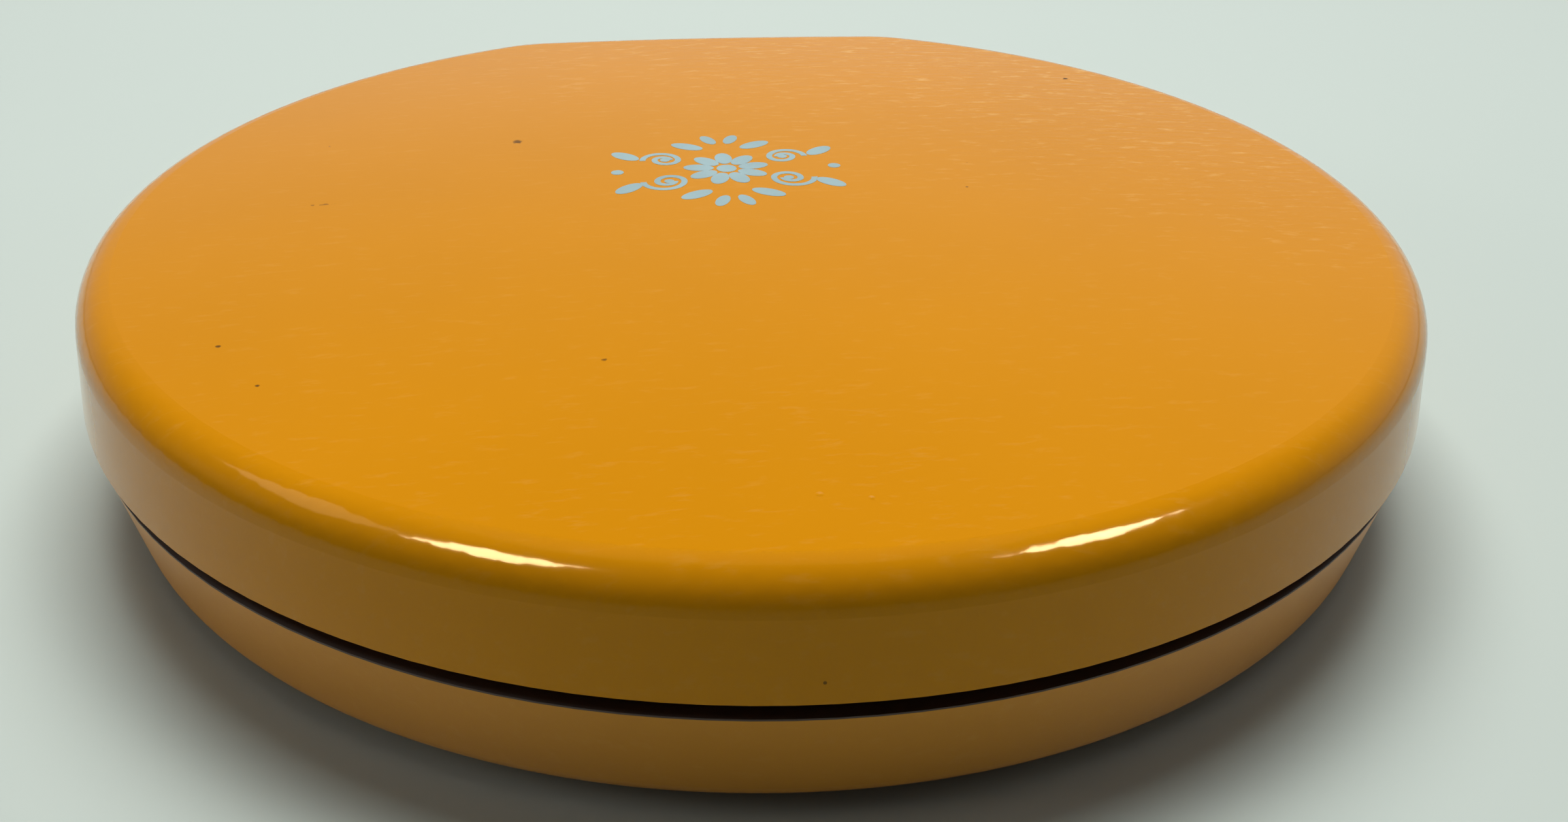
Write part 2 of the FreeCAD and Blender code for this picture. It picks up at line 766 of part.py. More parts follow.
def sleeve(side, inside, outside, x0, x1):
    """Square sleeve round one leg of the core, between two distances from the leg's faces."""
    outer, inner = (side_box(side, x0, x1, leg_inner - grow, leg_outer + grow,
                             -core_half_height - grow, core_half_height + grow)
                    for grow in (outside, inside))
    return outer.cut(inner)


def coil_bobbins():
    bobbins = []
    for side in (-1, 1):
        pieces = [sleeve(side, 0, bobbin_wall, bobbin_front, bobbin_back)]
        for x in (bobbin_front, bobbin_back - bobbin_flange):
            pieces.append(sleeve(side, 0, bobbin_wall + winding_depth, x, x + bobbin_flange))
        bobbins.append(fuse(pieces))
    return Part.makeCompound(bobbins)


def coil_windings():
    depth = bobbin_wall + winding_depth - winding_relief
    return Part.makeCompound([
        sleeve(side, bobbin_wall, depth, bobbin_front + bobbin_flange, bobbin_back - bobbin_flange)
        for side in (-1, 1)])


def suppressor_capacitor():
    block = box(capacitor_front, capacitor_front + capacitor_length, -capacitor_half_width,
                capacitor_half_width, chassis_top, capacitor_top)
    return block.makeFillet(capacitor_round, edges_at(block, capacitor_top))


def armature():
    block = box(armature_front, armature_back, -armature_half_width, armature_half_width,
                -armature_half_height, armature_half_height)
    return block.cut(box(armature_front - 1, armature_back + 1, -arm_half_width, arm_half_width,
                         -arm_half_height, arm_half_height))


def rocker_arm():
    arm = box(stud_at + nose_length, armature_back, -arm_half_width, arm_half_width,
              -arm_half_height, arm_half_height)
    nose = box(stud_at, stud_at + nose_length, -nose_half_width, nose_half_width,
               -arm_half_height, arm_half_height)
    hub = post(hub_ring_radius, pivot_at, 0, -hub_ring_half, hub_ring_half)
    stud = post(stud_radius, stud_at, 0, -stud_half, stud_half)
    bore = post(pivot_radius + pivot_fit, pivot_at, 0, -2 * hub_ring_half, 2 * hub_ring_half)
    return fuse([arm, nose, hub, stud]).cut(bore)


def rocker_pin():
    return post(pivot_radius, pivot_at, 0, chassis_low, pivot_top)


def centring_springs():
    return Part.makeCompound([
        coil_spring(Vector(spring_at, side * (arm_half_width + spring_touch), 0),
                    Vector(spring_at, side * (spring_seat - spring_touch), 0),
                    centring_radius - centring_wire, centring_wire, centring_turns)
        for side in (-1, 1)])


# ---- shaving head -------------------------------------------------------------------------------------------------
def head_block(x0, x1, shrink, radius):
    """Long block across the shaver, with rounded edges along the shaver's axis."""
    block = box(x0, x1, shrink - head_half_length, head_half_length - shrink,
                shrink - head_half_height, head_half_height - shrink)
    return block.makeFillet(radius, [e for e in block.Edges if e.BoundBox.XLength > (x1 - x0) / 2])


def head_housing():
    block = head_block(head_front, neck_front, 0, head_round)
    inside = head_block(head_front - 1, neck_front - head_back_wall, head_wall, head_round - head_wall)
    collar = rod(collar_radius, Vector(neck_front - head_back_wall, 0, 0),
                 Vector(handle_front - collar_gap, 0, 0))
    body = fuse([block, collar]).cut(inside)
    body = body.cut(rod(neck_radius + neck_fit, Vector(neck_front, 0, 0), CENTRE))
    body = body.cut(rod(neck_bore, Vector(neck_front - 2 * head_back_wall, 0, 0), CENTRE))
    for side in (-1, 1):
        body = body.cut(rod(button_radius + button_fit, Vector(button_at, side * head_half_length / 2, 0),
                            Vector(button_at, side * 2 * head_half_length, 0)))
    return body


def release_button(side):
    inside = head_half_length - head_wall
    cap = rod(button_radius, Vector(button_at, side * (inside - button_flange_thickness), 0),
              Vector(button_at, side * (head_half_length + button_proud), 0))
    flange = rod(button_radius + button_flange,
                 Vector(button_at, side * (inside - button_fit - button_flange_thickness), 0),
                 Vector(button_at, side * (inside - button_fit), 0))
    return fuse([cap, flange])


def foil_frame():
    rim = head_block(frame_front, head_front, 0, head_round)
    rim = rim.makeFillet(frame_round, [e for e in rim.Edges if abs(e.BoundBox.XMax - frame_front) < 1e-3])
    skirt = head_block(head_front - 1, head_front + skirt_depth, head_wall + skirt_fit,
                       head_round - head_wall)
    window = box(frame_front - 1, head_front + skirt_depth + 1, -foil_half_length, foil_half_length,
                 -foil_radius, foil_radius)
    return fuse([rim, skirt]).cut(window)


def foil_arch(radius):
    """Half-round front with straight sides running back into the head."""
    half = foil_half_length - foil_fit
    front = rod(radius, Vector(foil_axis, -half, 0), Vector(foil_axis, half, 0))
    front = front.common(box(foil_axis - 2 * radius, foil_axis, -half, half, -2 * radius, 2 * radius))
    return fuse([front, box(foil_axis, head_front + foil_leg, -half, half, -radius, radius)])


def shaving_foil():
    outside = foil_radius - foil_fit
    return foil_arch(outside).cut(foil_arch(outside - foil_thickness))


def cutter_carrier():
    back = foil_axis + blade_back + carrier_depth
    bar = box(foil_axis + blade_back, back, -carrier_half_length, carrier_half_length,
              -carrier_half_height, carrier_half_height)
    near = stud_radius + stud_fit
    prongs = [side_box(side, back - 1, stud_at + prong_reach, near, near + prong_width,
                       -prong_half_height, prong_half_height) for side in (-1, 1)]
    return fuse([bar] + prongs)


def cutter_blades():
    pitch = (2 * carrier_half_length - blade_thickness) / (blade_count - 1)
    blades = []
    for n in range(blade_count):
        y0 = n * pitch - carrier_half_length
        y1 = y0 + blade_thickness
        disc = rod(blade_radius, Vector(foil_axis, y0, 0), Vector(foil_axis, y1, 0))
        blades.append(disc.common(box(foil_axis - far, foil_axis + blade_back, y0, y1,
                                      -blade_half_height, blade_half_height)))
    return Part.makeCompound(blades)


def cutter_springs():
    start = foil_axis + blade_back + carrier_depth + spring_touch
    end = neck_front - head_back_wall - spring_touch
    return Part.makeCompound([
        coil_spring(Vector(start, side * cutter_spring_offset, 0), Vector(end, side * cutter_spring_offset, 0),
                    cutter_spring_radius, cutter_spring_wire, cutter_spring_turns)
        for side in (-1, 1)])


# ---- attachments: hubs, then working ends -------------------------------------------------------------------------
def hub(x, y):
    """Push-on hub, bored for the tray's peg and for the shaver's stud."""
    body = fuse([post(hub_radius, x, y, hub_z, hub_top_z),
                 post(hub_collar_radius, x, y, hub_top_z - hub_collar_height, hub_top_z)])
    return body.cut(post(peg_radius + peg_fit, x, y, hub_z - 1, hub_top_z - hub_roof))


def massage_cup(x, y):
    z = hub_top_z
    cup = turned([(0, z), (hub_collar_radius - peg_fit, z), (cup_radius - cup_flare, z + cup_flare),
                  (cup_radius, z + cup_full_height), (cup_radius, z + cup_height),
                  (cup_radius - cup_lip, z + cup_height), (cup_radius - cup_bowl_inset, z + cup_bowl_height),
                  (0, z + cup_floor)], x, y)
    nubs = []
    for nx, ny in [(x, y)] + ring_of(6, cup_radius / 3, x, y):
        nubs.append(post(nub_radius, nx, ny, z + nub_root, z + nub_height))
        nubs.append(Part.makeSphere(nub_tip_radius, Vector(nx, ny, z + nub_height)))
    return fuse([cup] + nubs)


def massage_ball(x, y):
    neck = math.sqrt(ball_radius ** 2 - hub_radius ** 2)
    sphere = Part.makeSphere(ball_radius, Vector(x, y, hub_top_z + neck))
    return sphere.common(box(-far, far, -far, far, hub_top_z, far))


def rounded_drum(radius, height, edge):
    def make(x, y):
        drum = post(radius, x, y, hub_top_z, hub_top_z + height)
        return drum.makeFillet(edge, edges_at(drum, hub_top_z + height))
    return make


def brush_tufts(x, y):
    z = hub_top_z + brush_block_height
    spots = [(x, y)]
    for count, share in tuft_rings:
        spots += ring_of(count, brush_radius * share, x, y)
    return Part.makeCompound([post(tuft_radius, tx, ty, z, z + tuft_height) for tx, ty in spots])


def nail_file(x, y):
    z = hub_top_z
    return turned([(0, z), (file_radius, z), (file_radius, z + file_foot),
                   (file_tip_radius + file_tip_chamfer, z + file_height - file_tip_chamfer),
                   (file_tip_radius, z + file_height), (0, z + file_height)], x, y)


def cuticle_tip(x, y):
    z = hub_top_z
    shoulder_r, shoulder_h = cuticle_shoulder
    neck_r, neck_h = cuticle_neck
    return turned([(0, z), (cuticle_radius, z), (shoulder_r, z + shoulder_h), (neck_r, z + neck_h),
                   (cuticle_tip_radius, z + cuticle_height), (0, z + cuticle_height)], x, y)


def dimple_roller(x, y):
    z = hub_top_z + roller_middle
    dome = Part.makeSphere(roller_radius, Vector(x, y, z)).common(box(-far, far, -far, far, hub_top_z, far))
    nubs = [Part.makeSphere(roller_nub_radius, Vector(x, y, z + roller_radius))]
    for tilt, count in roller_nub_rings:
        lean = math.radians(tilt)
        for nx, ny in ring_of(count, roller_radius * math.sin(lean), x, y):
            nubs.append(Part.makeSphere(roller_nub_radius, Vector(nx, ny, z + roller_radius * math.cos(lean))))
    return fuse([dome] + nubs)


# ---- everything is written out --------------------------------------------------------------------------------------
def export_case():
    for make in (base_shell, lid_shell, hinge_pins, mirror_glass, mirror_ring, inner_tray):
        export(make.__name__, make())


def export_shaver():
    upper, lower = casing_halves()
    export("handle_upper_shell", upper, shaver_place)
    export("handle_lower_shell", lower, shaver_place)
    export("release_button_front", release_button(-1), shaver_place)
    export("release_button_rear", release_button(1), shaver_place)
    for make in (casing_screws, power_slider, switch_block, inlet_socket, inlet_pins, motor_chassis,
                 stator_core, coil_bobbins, coil_windings, suppressor_capacitor, armature, rocker_arm,
                 rocker_pin, centring_springs, head_housing, foil_frame, shaving_foil, cutter_carrier,
                 cutter_blades, cutter_springs):
        export(make.__name__, make(), shaver_place)


def export_attachments():
    working_ends = {
        "massage_cup": massage_cup,
        "massage_ball": massage_ball,
        "bristle_brush": rounded_drum(brush_radius, brush_block_height, brush_block_round),
        "callus_drum": rounded_drum(callus_radius, callus_height, callus_round),
        "felt_buffer": rounded_drum(felt_radius, felt_height, felt_round),
        "nail_file": nail_file,
        "cuticle_tip": cuticle_tip,
        "dimple_roller": dimple_roller,
    }
    for name, (x, y, _) in attachment_spots.items():
        export(name + "_hub", hub(x, y))
        export(name, working_ends[name](x, y))
    x, y, _ = attachment_spots["bristle_brush"]
    export("brush_tufts", brush_tufts(x, y))


os.makedirs("parts", exist_ok=True)
export_case()
export_shaver()
export_attachments()
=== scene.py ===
"""Looks of an electric shaver set in its round orange case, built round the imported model."""

import math
import random

import bmesh
import bpy
from mathutils import Matrix, Vector
from mathutils.bvhtree import BVHTree


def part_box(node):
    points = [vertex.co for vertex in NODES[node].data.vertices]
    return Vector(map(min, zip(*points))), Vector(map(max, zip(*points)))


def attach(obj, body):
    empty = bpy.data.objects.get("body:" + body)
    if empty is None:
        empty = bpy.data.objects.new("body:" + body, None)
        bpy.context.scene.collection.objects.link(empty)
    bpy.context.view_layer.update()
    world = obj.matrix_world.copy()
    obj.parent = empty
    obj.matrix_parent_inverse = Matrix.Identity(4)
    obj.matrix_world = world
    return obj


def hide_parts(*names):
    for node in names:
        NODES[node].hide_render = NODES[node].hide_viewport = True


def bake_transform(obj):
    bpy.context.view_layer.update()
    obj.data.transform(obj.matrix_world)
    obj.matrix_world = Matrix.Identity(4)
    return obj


bl_info = {
    "name": "Shaver Set Looks",
    "version": (1, 0, 0),
    "blender": (4, 5, 0),
    "location": "View3D > Sidebar > Shaver Set",
    "description": "Finishes, trims and a studio for a round shaver case and what it holds",
    "category": "Object",
}

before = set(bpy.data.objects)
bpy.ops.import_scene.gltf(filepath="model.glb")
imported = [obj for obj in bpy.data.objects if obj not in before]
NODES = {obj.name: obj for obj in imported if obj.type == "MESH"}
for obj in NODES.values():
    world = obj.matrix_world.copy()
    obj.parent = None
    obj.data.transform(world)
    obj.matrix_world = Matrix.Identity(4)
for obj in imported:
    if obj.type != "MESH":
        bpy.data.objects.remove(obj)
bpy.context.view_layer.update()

LID_LOW, LID_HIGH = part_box("lid_shell")
CASE_RADIUS = (LID_HIGH.x - LID_LOW.x) / 2
ROUND_Y = LID_LOW.y + CASE_RADIUS       # middle of the round
UNDERSIDE_Z = 0.0030                    # base's plate above the surface that it stands on
RIM_Z = 0.0203                          # top of the base's rim
ATTACHMENTS = ("massage_cup", "massage_ball", "bristle_brush", "callus_drum", "felt_buffer",
               "nail_file", "cuticle_tip", "dimple_roller")


# ---- shader building -----------------------------------------------------------------------------
class Sock:
    """A node socket that can be used in an expression; each operator adds one Math node."""

    def __init__(self, shader, socket):
        self.shader = shader
        self.socket = socket

    def _math(self, operation, *values):
        return self.shader.node("ShaderNodeMath", {"operation": operation}, dict(enumerate(values)))

    def __add__(self, other):
        return self._math("ADD", self, other)

    def __radd__(self, other):
        return self._math("ADD", other, self)

    def __sub__(self, other):
        return self._math("SUBTRACT", self, other)

    def __rsub__(self, other):
        return self._math("SUBTRACT", other, self)

    def __mul__(self, other):
        return self._math("MULTIPLY", self, other)

    def __rmul__(self, other):
        return self._math("MULTIPLY", other, self)

    def __truediv__(self, other):
        return self._math("DIVIDE", self, other)

    def __pow__(self, other):
        return self._math("POWER", self, other)

    def __lt__(self, other):
        return self._math("LESS_THAN", self, other)

    def __gt__(self, other):
        return self._math("GREATER_THAN", self, other)

    def wave(self):
        """Sine of the value."""
        return self._math("SINE", self)

    def size(self):
        """The value without its sign."""
        return self._math("ABSOLUTE", self)

    def clamped(self):
        """The value, held between 0 and 1."""
        return self._math("MINIMUM", self._math("MAXIMUM", self, 0.0), 1.0)


class Shader:
    """One procedural material, built from a Principled surface, or the nodes of a world."""

    def __init__(self, name, world=None, **settings):
        self.material = world or bpy.data.materials.new(name)
        self.material.use_nodes = True
        self.tree = self.material.node_tree
        self.surface = self.tree.nodes["Background" if world else "Principled BSDF"]
        self.set(**settings)

    def node(self, kind, settings=None, inputs=None, output=0):
        """Adds a node: its settings first, then the values or links of its sockets."""
        added = self.tree.nodes.new(kind)
        for key, value in (settings or {}).items():
            setattr(added, key, value)
        for key, value in (inputs or {}).items():
            self.feed(added.inputs[key], value)
        return Sock(self, added.outputs[output])

    def feed(self, socket, value):
        """Links an expression to an input socket, or sets a plain value on it."""
        if isinstance(value, Sock):
            self.tree.links.new(value.socket, socket)
        else:
            socket.default_value = value

    def set(self, **settings):
        """Sets or links the sockets of the surface, named with _ for a space."""
        for key, value in settings.items():
            self.feed(self.surface.inputs[key.replace("_", " ")], value)

    def here(self):
        """Object coordinates."""
        return self.node("ShaderNodeTexCoord", output="Object")

    def place(self, scale=(1, 1, 1), turn=(0, 0, 0), shift=(0, 0, 0)):
        """Object coordinates, scaled, turned and shifted."""
        return self.node("ShaderNodeMapping", {}, {
            "Vector": self.here(), "Scale": scale, "Rotation": turn, "Location": shift})

    def noise(self, scale, detail=3.0, roughness=0.5, place=None):
        """Smooth noise of about 0 to 1 at so many lumps per metre."""
        return self.node("ShaderNodeTexNoise", {}, {
            "Vector": place or self.place(), "Scale": scale, "Detail": detail,
            "Roughness": roughness})

    def streaks(self, lumps, turn=(0, 0, 0), detail=3.0, roughness=0.6):
        """Noise with its own number of lumps per metre along each axis."""
        return self.noise(1.0, detail, roughness, self.place(lumps, turn))

    def cells(self, scale):
        """Distance to the nearest of scattered points, so many per metre."""
        return self.node("ShaderNodeTexVoronoi", {}, {
            "Vector": self.place(), "Scale": scale}, "Distance")

    def dot(self, vector, direction):
        """How far a vector reaches along a direction."""
        return self.node("ShaderNodeVectorMath", {"operation": "DOT_PRODUCT"}, {
            0: vector, 1: direction}, "Value")

    def gap(self, vector, point=(0, 0, 0)):
        """Distance from a vector to a point."""
        return self.node("ShaderNodeVectorMath", {"operation": "DISTANCE"}, {
            0: vector, 1: point}, "Value")

    def between(self, factor, low, high):
        """Colour that goes from low to high."""
        return self.node("ShaderNodeMix", {"data_type": "RGBA"}, {
            "Factor": factor, "A": low, "B": high}, "Result")

    def bump(self, height):
        """Normal of a relief, its height in metres."""
        return self.node("ShaderNodeBump", {}, {
            "Height": height, "Strength": 1.0, "Distance": 1.0})


def paint(material, *nodes):
    """Gives CAD nodes a material."""
    for name in nodes:
        mesh = NODES[name].data
        mesh.materials.clear()
        mesh.materials.append(material)


# ---- modelling -----------------------------------------------------------------------------------
def new_object(name, bm, material):
    """Turns a bmesh into an object at the origin."""
    mesh = bpy.data.meshes.new(name)
    bm.to_mesh(mesh)
    bm.free()
    mesh.materials.append(material)
    made = bpy.data.objects.new(name, mesh)
    bpy.context.scene.collection.objects.link(made)
    return made


def finish_piece(name, bm, material, body, replaced=(), smooth=True):
    """Turns a bmesh into a piece that rides on a body of the frame."""
    bmesh.ops.recalc_face_normals(bm, faces=bm.faces)
    piece = new_object(name, bm, material)
    for face in piece.data.polygons:
        face.use_smooth = smooth
    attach(piece, body)
    if replaced:
        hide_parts(*replaced)


def middle(node):
    """Middle of a CAD node's box."""
    low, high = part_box(node)
    return (low + high) / 2


def at(x, y, z, turn=0.0, scale=(1, 1, 1)):
    """Placing matrix: scaled, turned round Z and moved."""
    return (Matrix.Translation((x, y, z)) @ Matrix.Rotation(turn, 4, "Z")
            @ Matrix.Diagonal((*scale, 1)))


def disc(bm, x, y, radius, stretch=1.0, turn=0.0):
    """Flat round, or an oval that points along the turn."""
    bmesh.ops.create_circle(bm, cap_ends=True, segments=28, radius=radius,
                            matrix=at(x, y, 0, turn, (stretch, 1, 1)))


def sweep(bm, centre, radius, width, begin, angle, steps=20):
    """Flat ribbon along an arc. Returns where the arc ends."""
    cx, cy = centre
    rails = [bm.verts.new((cx + r * math.cos(begin), cy + r * math.sin(begin), 0))
             for r in (radius - width / 2, radius + width / 2)]
    edge = bm.edges.new(rails)
    bmesh.ops.spin(bm, geom=rails + [edge], cent=(cx, cy, 0), axis=(0, 0, 1), angle=angle,
                   steps=steps, use_merge=False)
    return cx + radius * math.cos(begin + angle), cy + radius * math.sin(begin + angle)


def thicken(bm, amount):
    """Closes flat faces into a slab that reaches up by the amount."""
    raised = bmesh.ops.extrude_face_region(bm, geom=bm.faces[:], use_keep_orig=True)
    verts = [item for item in raised["geom"] if isinstance(item, bmesh.types.BMVert)]
    bmesh.ops.translate(bm, verts=verts, vec=(0, 0, amount))


def lay_on(bm, node, sink):
    """Drops each vertex onto the top of a CAD node, and lets it in by a little."""
    tree = BVHTree.FromPolygons([v.co for v in NODES[node].data.vertices],
                                [p.vertices for p in NODES[node].data.polygons])
    for vert in bm.verts:
        spot = tree.ray_cast(Vector((vert.co.x, vert.co.y, 1)), Vector((0, 0, -1)))[0]
        if spot is None:
            raise RuntimeError("a print hangs over the edge of " + node)
        vert.co.z += spot.z - sink


def turned_ring(bm, centre, axis, profile, steps=96):
    """Closed ring: a small outline of (along, out) pairs, spun right round the axis."""
    axis = Vector(axis)
    side = axis.orthogonal().normalized()
    loop = [bm.verts.new(centre + axis * along + side * out) for along, out in profile]
    edges = [bm.edges.new((loop[i - 1], loop[i])) for i in range(len(loop))]
    bmesh.ops.spin(bm, geom=loop + edges, cent=centre, axis=axis, angle=math.tau, steps=steps,
                   use_merge=True)


# ---- settings ------------------------------------------------------------------------------------
def colour_setting(name, default):
    return bpy.props.FloatVectorProperty(
        name=name, description="Colour of the " + name.lower(), subtype="COLOR",
        default=default, min=0, max=1)


def length_setting(name, description, default, least=0.0):
    return bpy.props.FloatProperty(
        name=name, description=description, unit="LENGTH", default=default, min=least, precision=5)


class CaseFinish(bpy.types.PropertyGroup):
    shell: colour_setting("Case plastic", (0.60, 0.238, 0.002))
    scuffs: bpy.props.FloatProperty(
        name="Scuffs", description="How worn the gloss is", subtype="FACTOR",
        default=0.5, min=0, max=1)
    speck: length_setting("Speck", "Radius of the specks of dirt", 0.00028)


class EmblemSettings(bpy.types.PropertyGroup):
    ink: colour_setting("Emblem ink", (0.38, 0.53, 0.57))
    size: length_setting("Size", "Radius of the daisy", 0.0078)
    across: length_setting("Across", "Middle of the emblem, right of the middle", -0.0046, -0.08)
    back: length_setting("Back", "Middle of the emblem, behind the middle", 0.0112, -0.08)
    thickness: length_setting("Thickness", "Thickness of the ink", 0.00005)


class ShaverFinish(bpy.types.PropertyGroup):
    cream: colour_setting("Cream plastic", (0.74, 0.62, 0.40))
    orange: colour_setting("Handle plastic", (0.68, 0.18, 0.010))
    brown: colour_setting("Brown plastic", (0.055, 0.022, 0.010))
    hole: length_setting("Hole pitch", "From one hole of the foil to the next", 0.0008)
    foil: length_setting("Foil", "Thickness of the foil", 0.0001)


class TrayFinish(bpy.types.PropertyGroup):
    moulding: colour_setting("Tray moulding", (0.060, 0.030, 0.017))
    ring: colour_setting("Mirror ring", (0.76, 0.65, 0.43))


class AttachmentSettings(bpy.types.PropertyGroup):
    fibres: bpy.props.IntProperty(
        name="Fibres", description="Bristles in each tuft", default=30, min=3, max=60)
    bristle: length_setting("Bristle", "Radius of one bristle", 0.00009)
    ribs: bpy.props.IntProperty(
        name="Grip ribs", description="Ribs round each hub's collar", default=30, min=6, max=60)


class StudioSettings(bpy.types.PropertyGroup):
    eye: bpy.props.FloatVectorProperty(
        name="Eye", description="Where the camera stands", subtype="XYZ", unit="LENGTH",
        precision=4, default=(-0.0328, -0.28227, 0.15937))
    heading: bpy.props.FloatProperty(
        name="Heading", description="Turn of the view from straight ahead, to the right",
        subtype="ANGLE", default=math.radians(7.76))
    tilt: bpy.props.FloatProperty(
        name="Tilt", description="View above the horizon", subtype="ANGLE",
        default=math.radians(-29.37))
    lean: bpy.props.FloatProperty(
        name="Lean", description="Roll of the camera", subtype="ANGLE",
        default=math.radians(1.07))
    focal: bpy.props.FloatProperty(
        name="Focal Length", description="For a 36 mm wide sensor", default=37.92, min=10, max=200)
    floor: colour_setting("Floor", (0.49, 0.56, 0.535))
    air: bpy.props.FloatProperty(
        name="Air", description="Strength of the even light", default=0.06, min=0, max=2)
    glow: bpy.props.FloatProperty(
        name="Glow", description="Strength of the pale light low at the back",
        default=0.55, min=0, max=2)


# ---- materials -----------------------------------------------------------------------------------
def dim(colour, part):
    """A part of a colour's brightness, with full alpha."""
    return (*(part * c for c in colour[:3]), 1.0)


def full(colour):
    """A colour with full alpha."""
    return (*colour[:3], 1.0)


# Dark marks of wear on the lid: x, y and z, then radius and how far it darkens.
LID_MARKS = (
    (-0.0441, 0.0314, 0.0451, 0.0011, 0.75),
    (0.0776, 0.0684, 0.0429, 0.0007, 1.0),
    (-0.0300, -0.0620, 0.0444, 0.0005, 0.7),
    (-0.0883, -0.0491, 0.0430, 0.0005, 0.8),
    (-0.0806, -0.0623, 0.0429, 0.0004, 0.8),
    (0.0420, 0.0120, 0.0450, 0.0004, 0.6),
)
# Pimples in the moulding: x, y and z, then radius.
LID_PIMPLES = ((-0.0030, -0.1001, 0.0430, 0.0006), (0.0037, -0.1015, 0.0429, 0.0005))


def case_plastic(name, finish, gloss, pale):
    """Moulded gloss plastic: orange peel, fine scratches, specks of dirt and a rubbed back, with pale
    flecks that are partly painted reflection.
    """
    # its reflections are tinted where they are seen face on
    s = Shader(name, Specular_IOR_Level=0.30, Specular_Tint=(1.0, 0.72, 0.35, 1.0))
    here = s.here()
    cloud = s.noise(11.0)
    # pale mixes the shell towards white: a painted reflection of the floor, used on the base
    shell = [c + pale * (1 - c) for c in finish.shell]
    worn = finish.scuffs
    # thin scratches in two directions, in patches
    lines = s.streaks((260, 14, 90), (0, 0, 0.5), 2.0)
    lines_too = s.streaks((12, 300, 90), (0, 0, 0.25), 2.0)
    patch = ((s.noise(16.0, 1.0) - 0.45) * 5.0).clamped()
    scratch = ((lines - 0.70) * 9.0).clamped() + ((lines_too - 0.71) * 9.0).clamped()
    scratch = (scratch * patch).clamped()
    # the back right of the lid is rubbed duller, with pale flecks that are partly wear and partly a
    # painted reflection
    rubbed = (s.dot(here, (5.5, 8.0, 0.0)) - 0.10).clamped()
    grain = s.streaks((170, 620, 300))
    fleck_and_sheen = ((s.streaks((210, 760, 400), roughness=0.65) - 0.56) * 6.0).clamped()
    fleck_and_sheen = (fleck_and_sheen * (0.12 + rubbed)).clamped()
    tone = s.between(cloud, dim(shell, 0.90), dim(shell, 1.05))
    # the pale fleck colour is partly a painted reflection, lightening mostly the back right
    tone = s.between(fleck_and_sheen * 0.42, tone, (0.86, 0.56, 0.20, 1.0))
    # scattered specks of dirt, then the marks that have their own places
    crowd = 62.0                            # cells to the metre, one speck each at most
    speck = (s.cells(crowd) < finish.speck * crowd) * (s.noise(23.0, 0.0) > 0.52)
    dirt = speck * 0.75
    for *spot, radius, depth in LID_MARKS:
        ragged = s.gap(here, spot) + (s.noise(1500.0, 1.0) - 0.5) * radius * 1.2
        dirt = dirt + ((radius - ragged) / (0.5 * radius)).clamped() * depth
    # a short dark scratch on the left
    along = s.gap(s.place((1, 7, 1), (0, 0, 0.42), (0.0840, 0.0056, -0.0440)))
    dirt = dirt + ((0.0030 - along) * 900.0).clamped() * 0.5 * (s.noise(900.0) > 0.5)
    dirt = dirt.clamped()
    gloss = (gloss + 0.05 * worn * cloud + 0.16 * worn * scratch + 0.10 * rubbed * grain
             + 0.3 * dirt)
    peel = s.noise(620.0, 1.0)
    relief = peel * 0.000005 + grain * (0.05 + rubbed) * 0.00010 - scratch * 0.000005
    for *spot, radius in LID_PIMPLES:
        relief = relief + ((radius - s.gap(here, spot)) / radius).clamped() * 0.00012
    s.set(Base_Color=s.between(dirt, tone, (0.035, 0.016, 0.004, 1.0)),
          Roughness=gloss.clamped(), Normal=s.bump(relief))
    return s.material


def moulded(name, colour, gloss, grain=900.0, depth=0.00002, specks=0.0):
    """Moulded plastic or rubber: cloudy tone, fine grain, handled spots that shine more."""
    s = Shader(name)
    fine = s.noise(grain)
    handled = s.noise(70.0, 2.0)
    tone = s.between(s.noise(45.0), dim(colour, 0.86), dim(colour, 1.08))
    if specks:
        speck = (s.cells(420.0) < specks) * (s.noise(110.0, 0.0) > 0.5)
        tone = s.between(speck, tone, dim(colour, 0.35))
    s.set(Base_Color=tone, Roughness=(gloss + (handled - 0.5) * 0.22 + fine * 0.06).clamped(),
          Normal=s.bump(fine * depth))
    return s.material


def drawn_metal(name, colour, gloss, lumps):
    """Metal with fine marks that run one way, and a little tarnish."""
    s = Shader(name, Metallic=1.0)
    marks = s.streaks(lumps)
    tarnish = (s.noise(60.0) - 0.35).clamped() * 1.4
    tone = s.between(tarnish, full(colour), dim(colour, 0.72))
    s.set(Base_Color=tone, Roughness=(gloss + marks * 0.22).clamped(),
          Normal=s.bump(marks * 0.000008))
    return s.material


def grit(name, colour, scale, depth):
    """Bonded grit: packed sharp grains of mixed tone with a sparkle."""
    s = Shader(name)
    mix = s.noise(scale * 0.6, 2.0)
    tone = s.between(mix, dim(colour, 0.62), dim(colour, 1.3))
    s.set(Base_Color=tone, Roughness=0.45 + mix * 0.5,
          Normal=s.bump((1 - s.cells(scale)) * depth))
    return s.material


def banded(name, colour, pitch, axis, depth, **settings):
    """Stacked plates or wound turns: fine grooves across one axis, darkened with painted shade."""
    s = Shader(name, **settings)
    direction = tuple(math.tau / pitch if i == axis else 0.0 for i in range(3))
    groove = s.dot(s.here(), direction).wave().size() ** 0.5
    wear = s.noise(130.0)
    # darker towards each seam: painted shade in the grooves between plates and turns
    tone = s.between(groove * (0.6 + wear * 0.5), dim(colour, 0.35), dim(colour, 1.12))
    s.set(Base_Color=tone, Roughness=0.5 - 0.2 * groove + 0.1 * wear,
          Normal=s.bump(groove * depth))
    return s.material


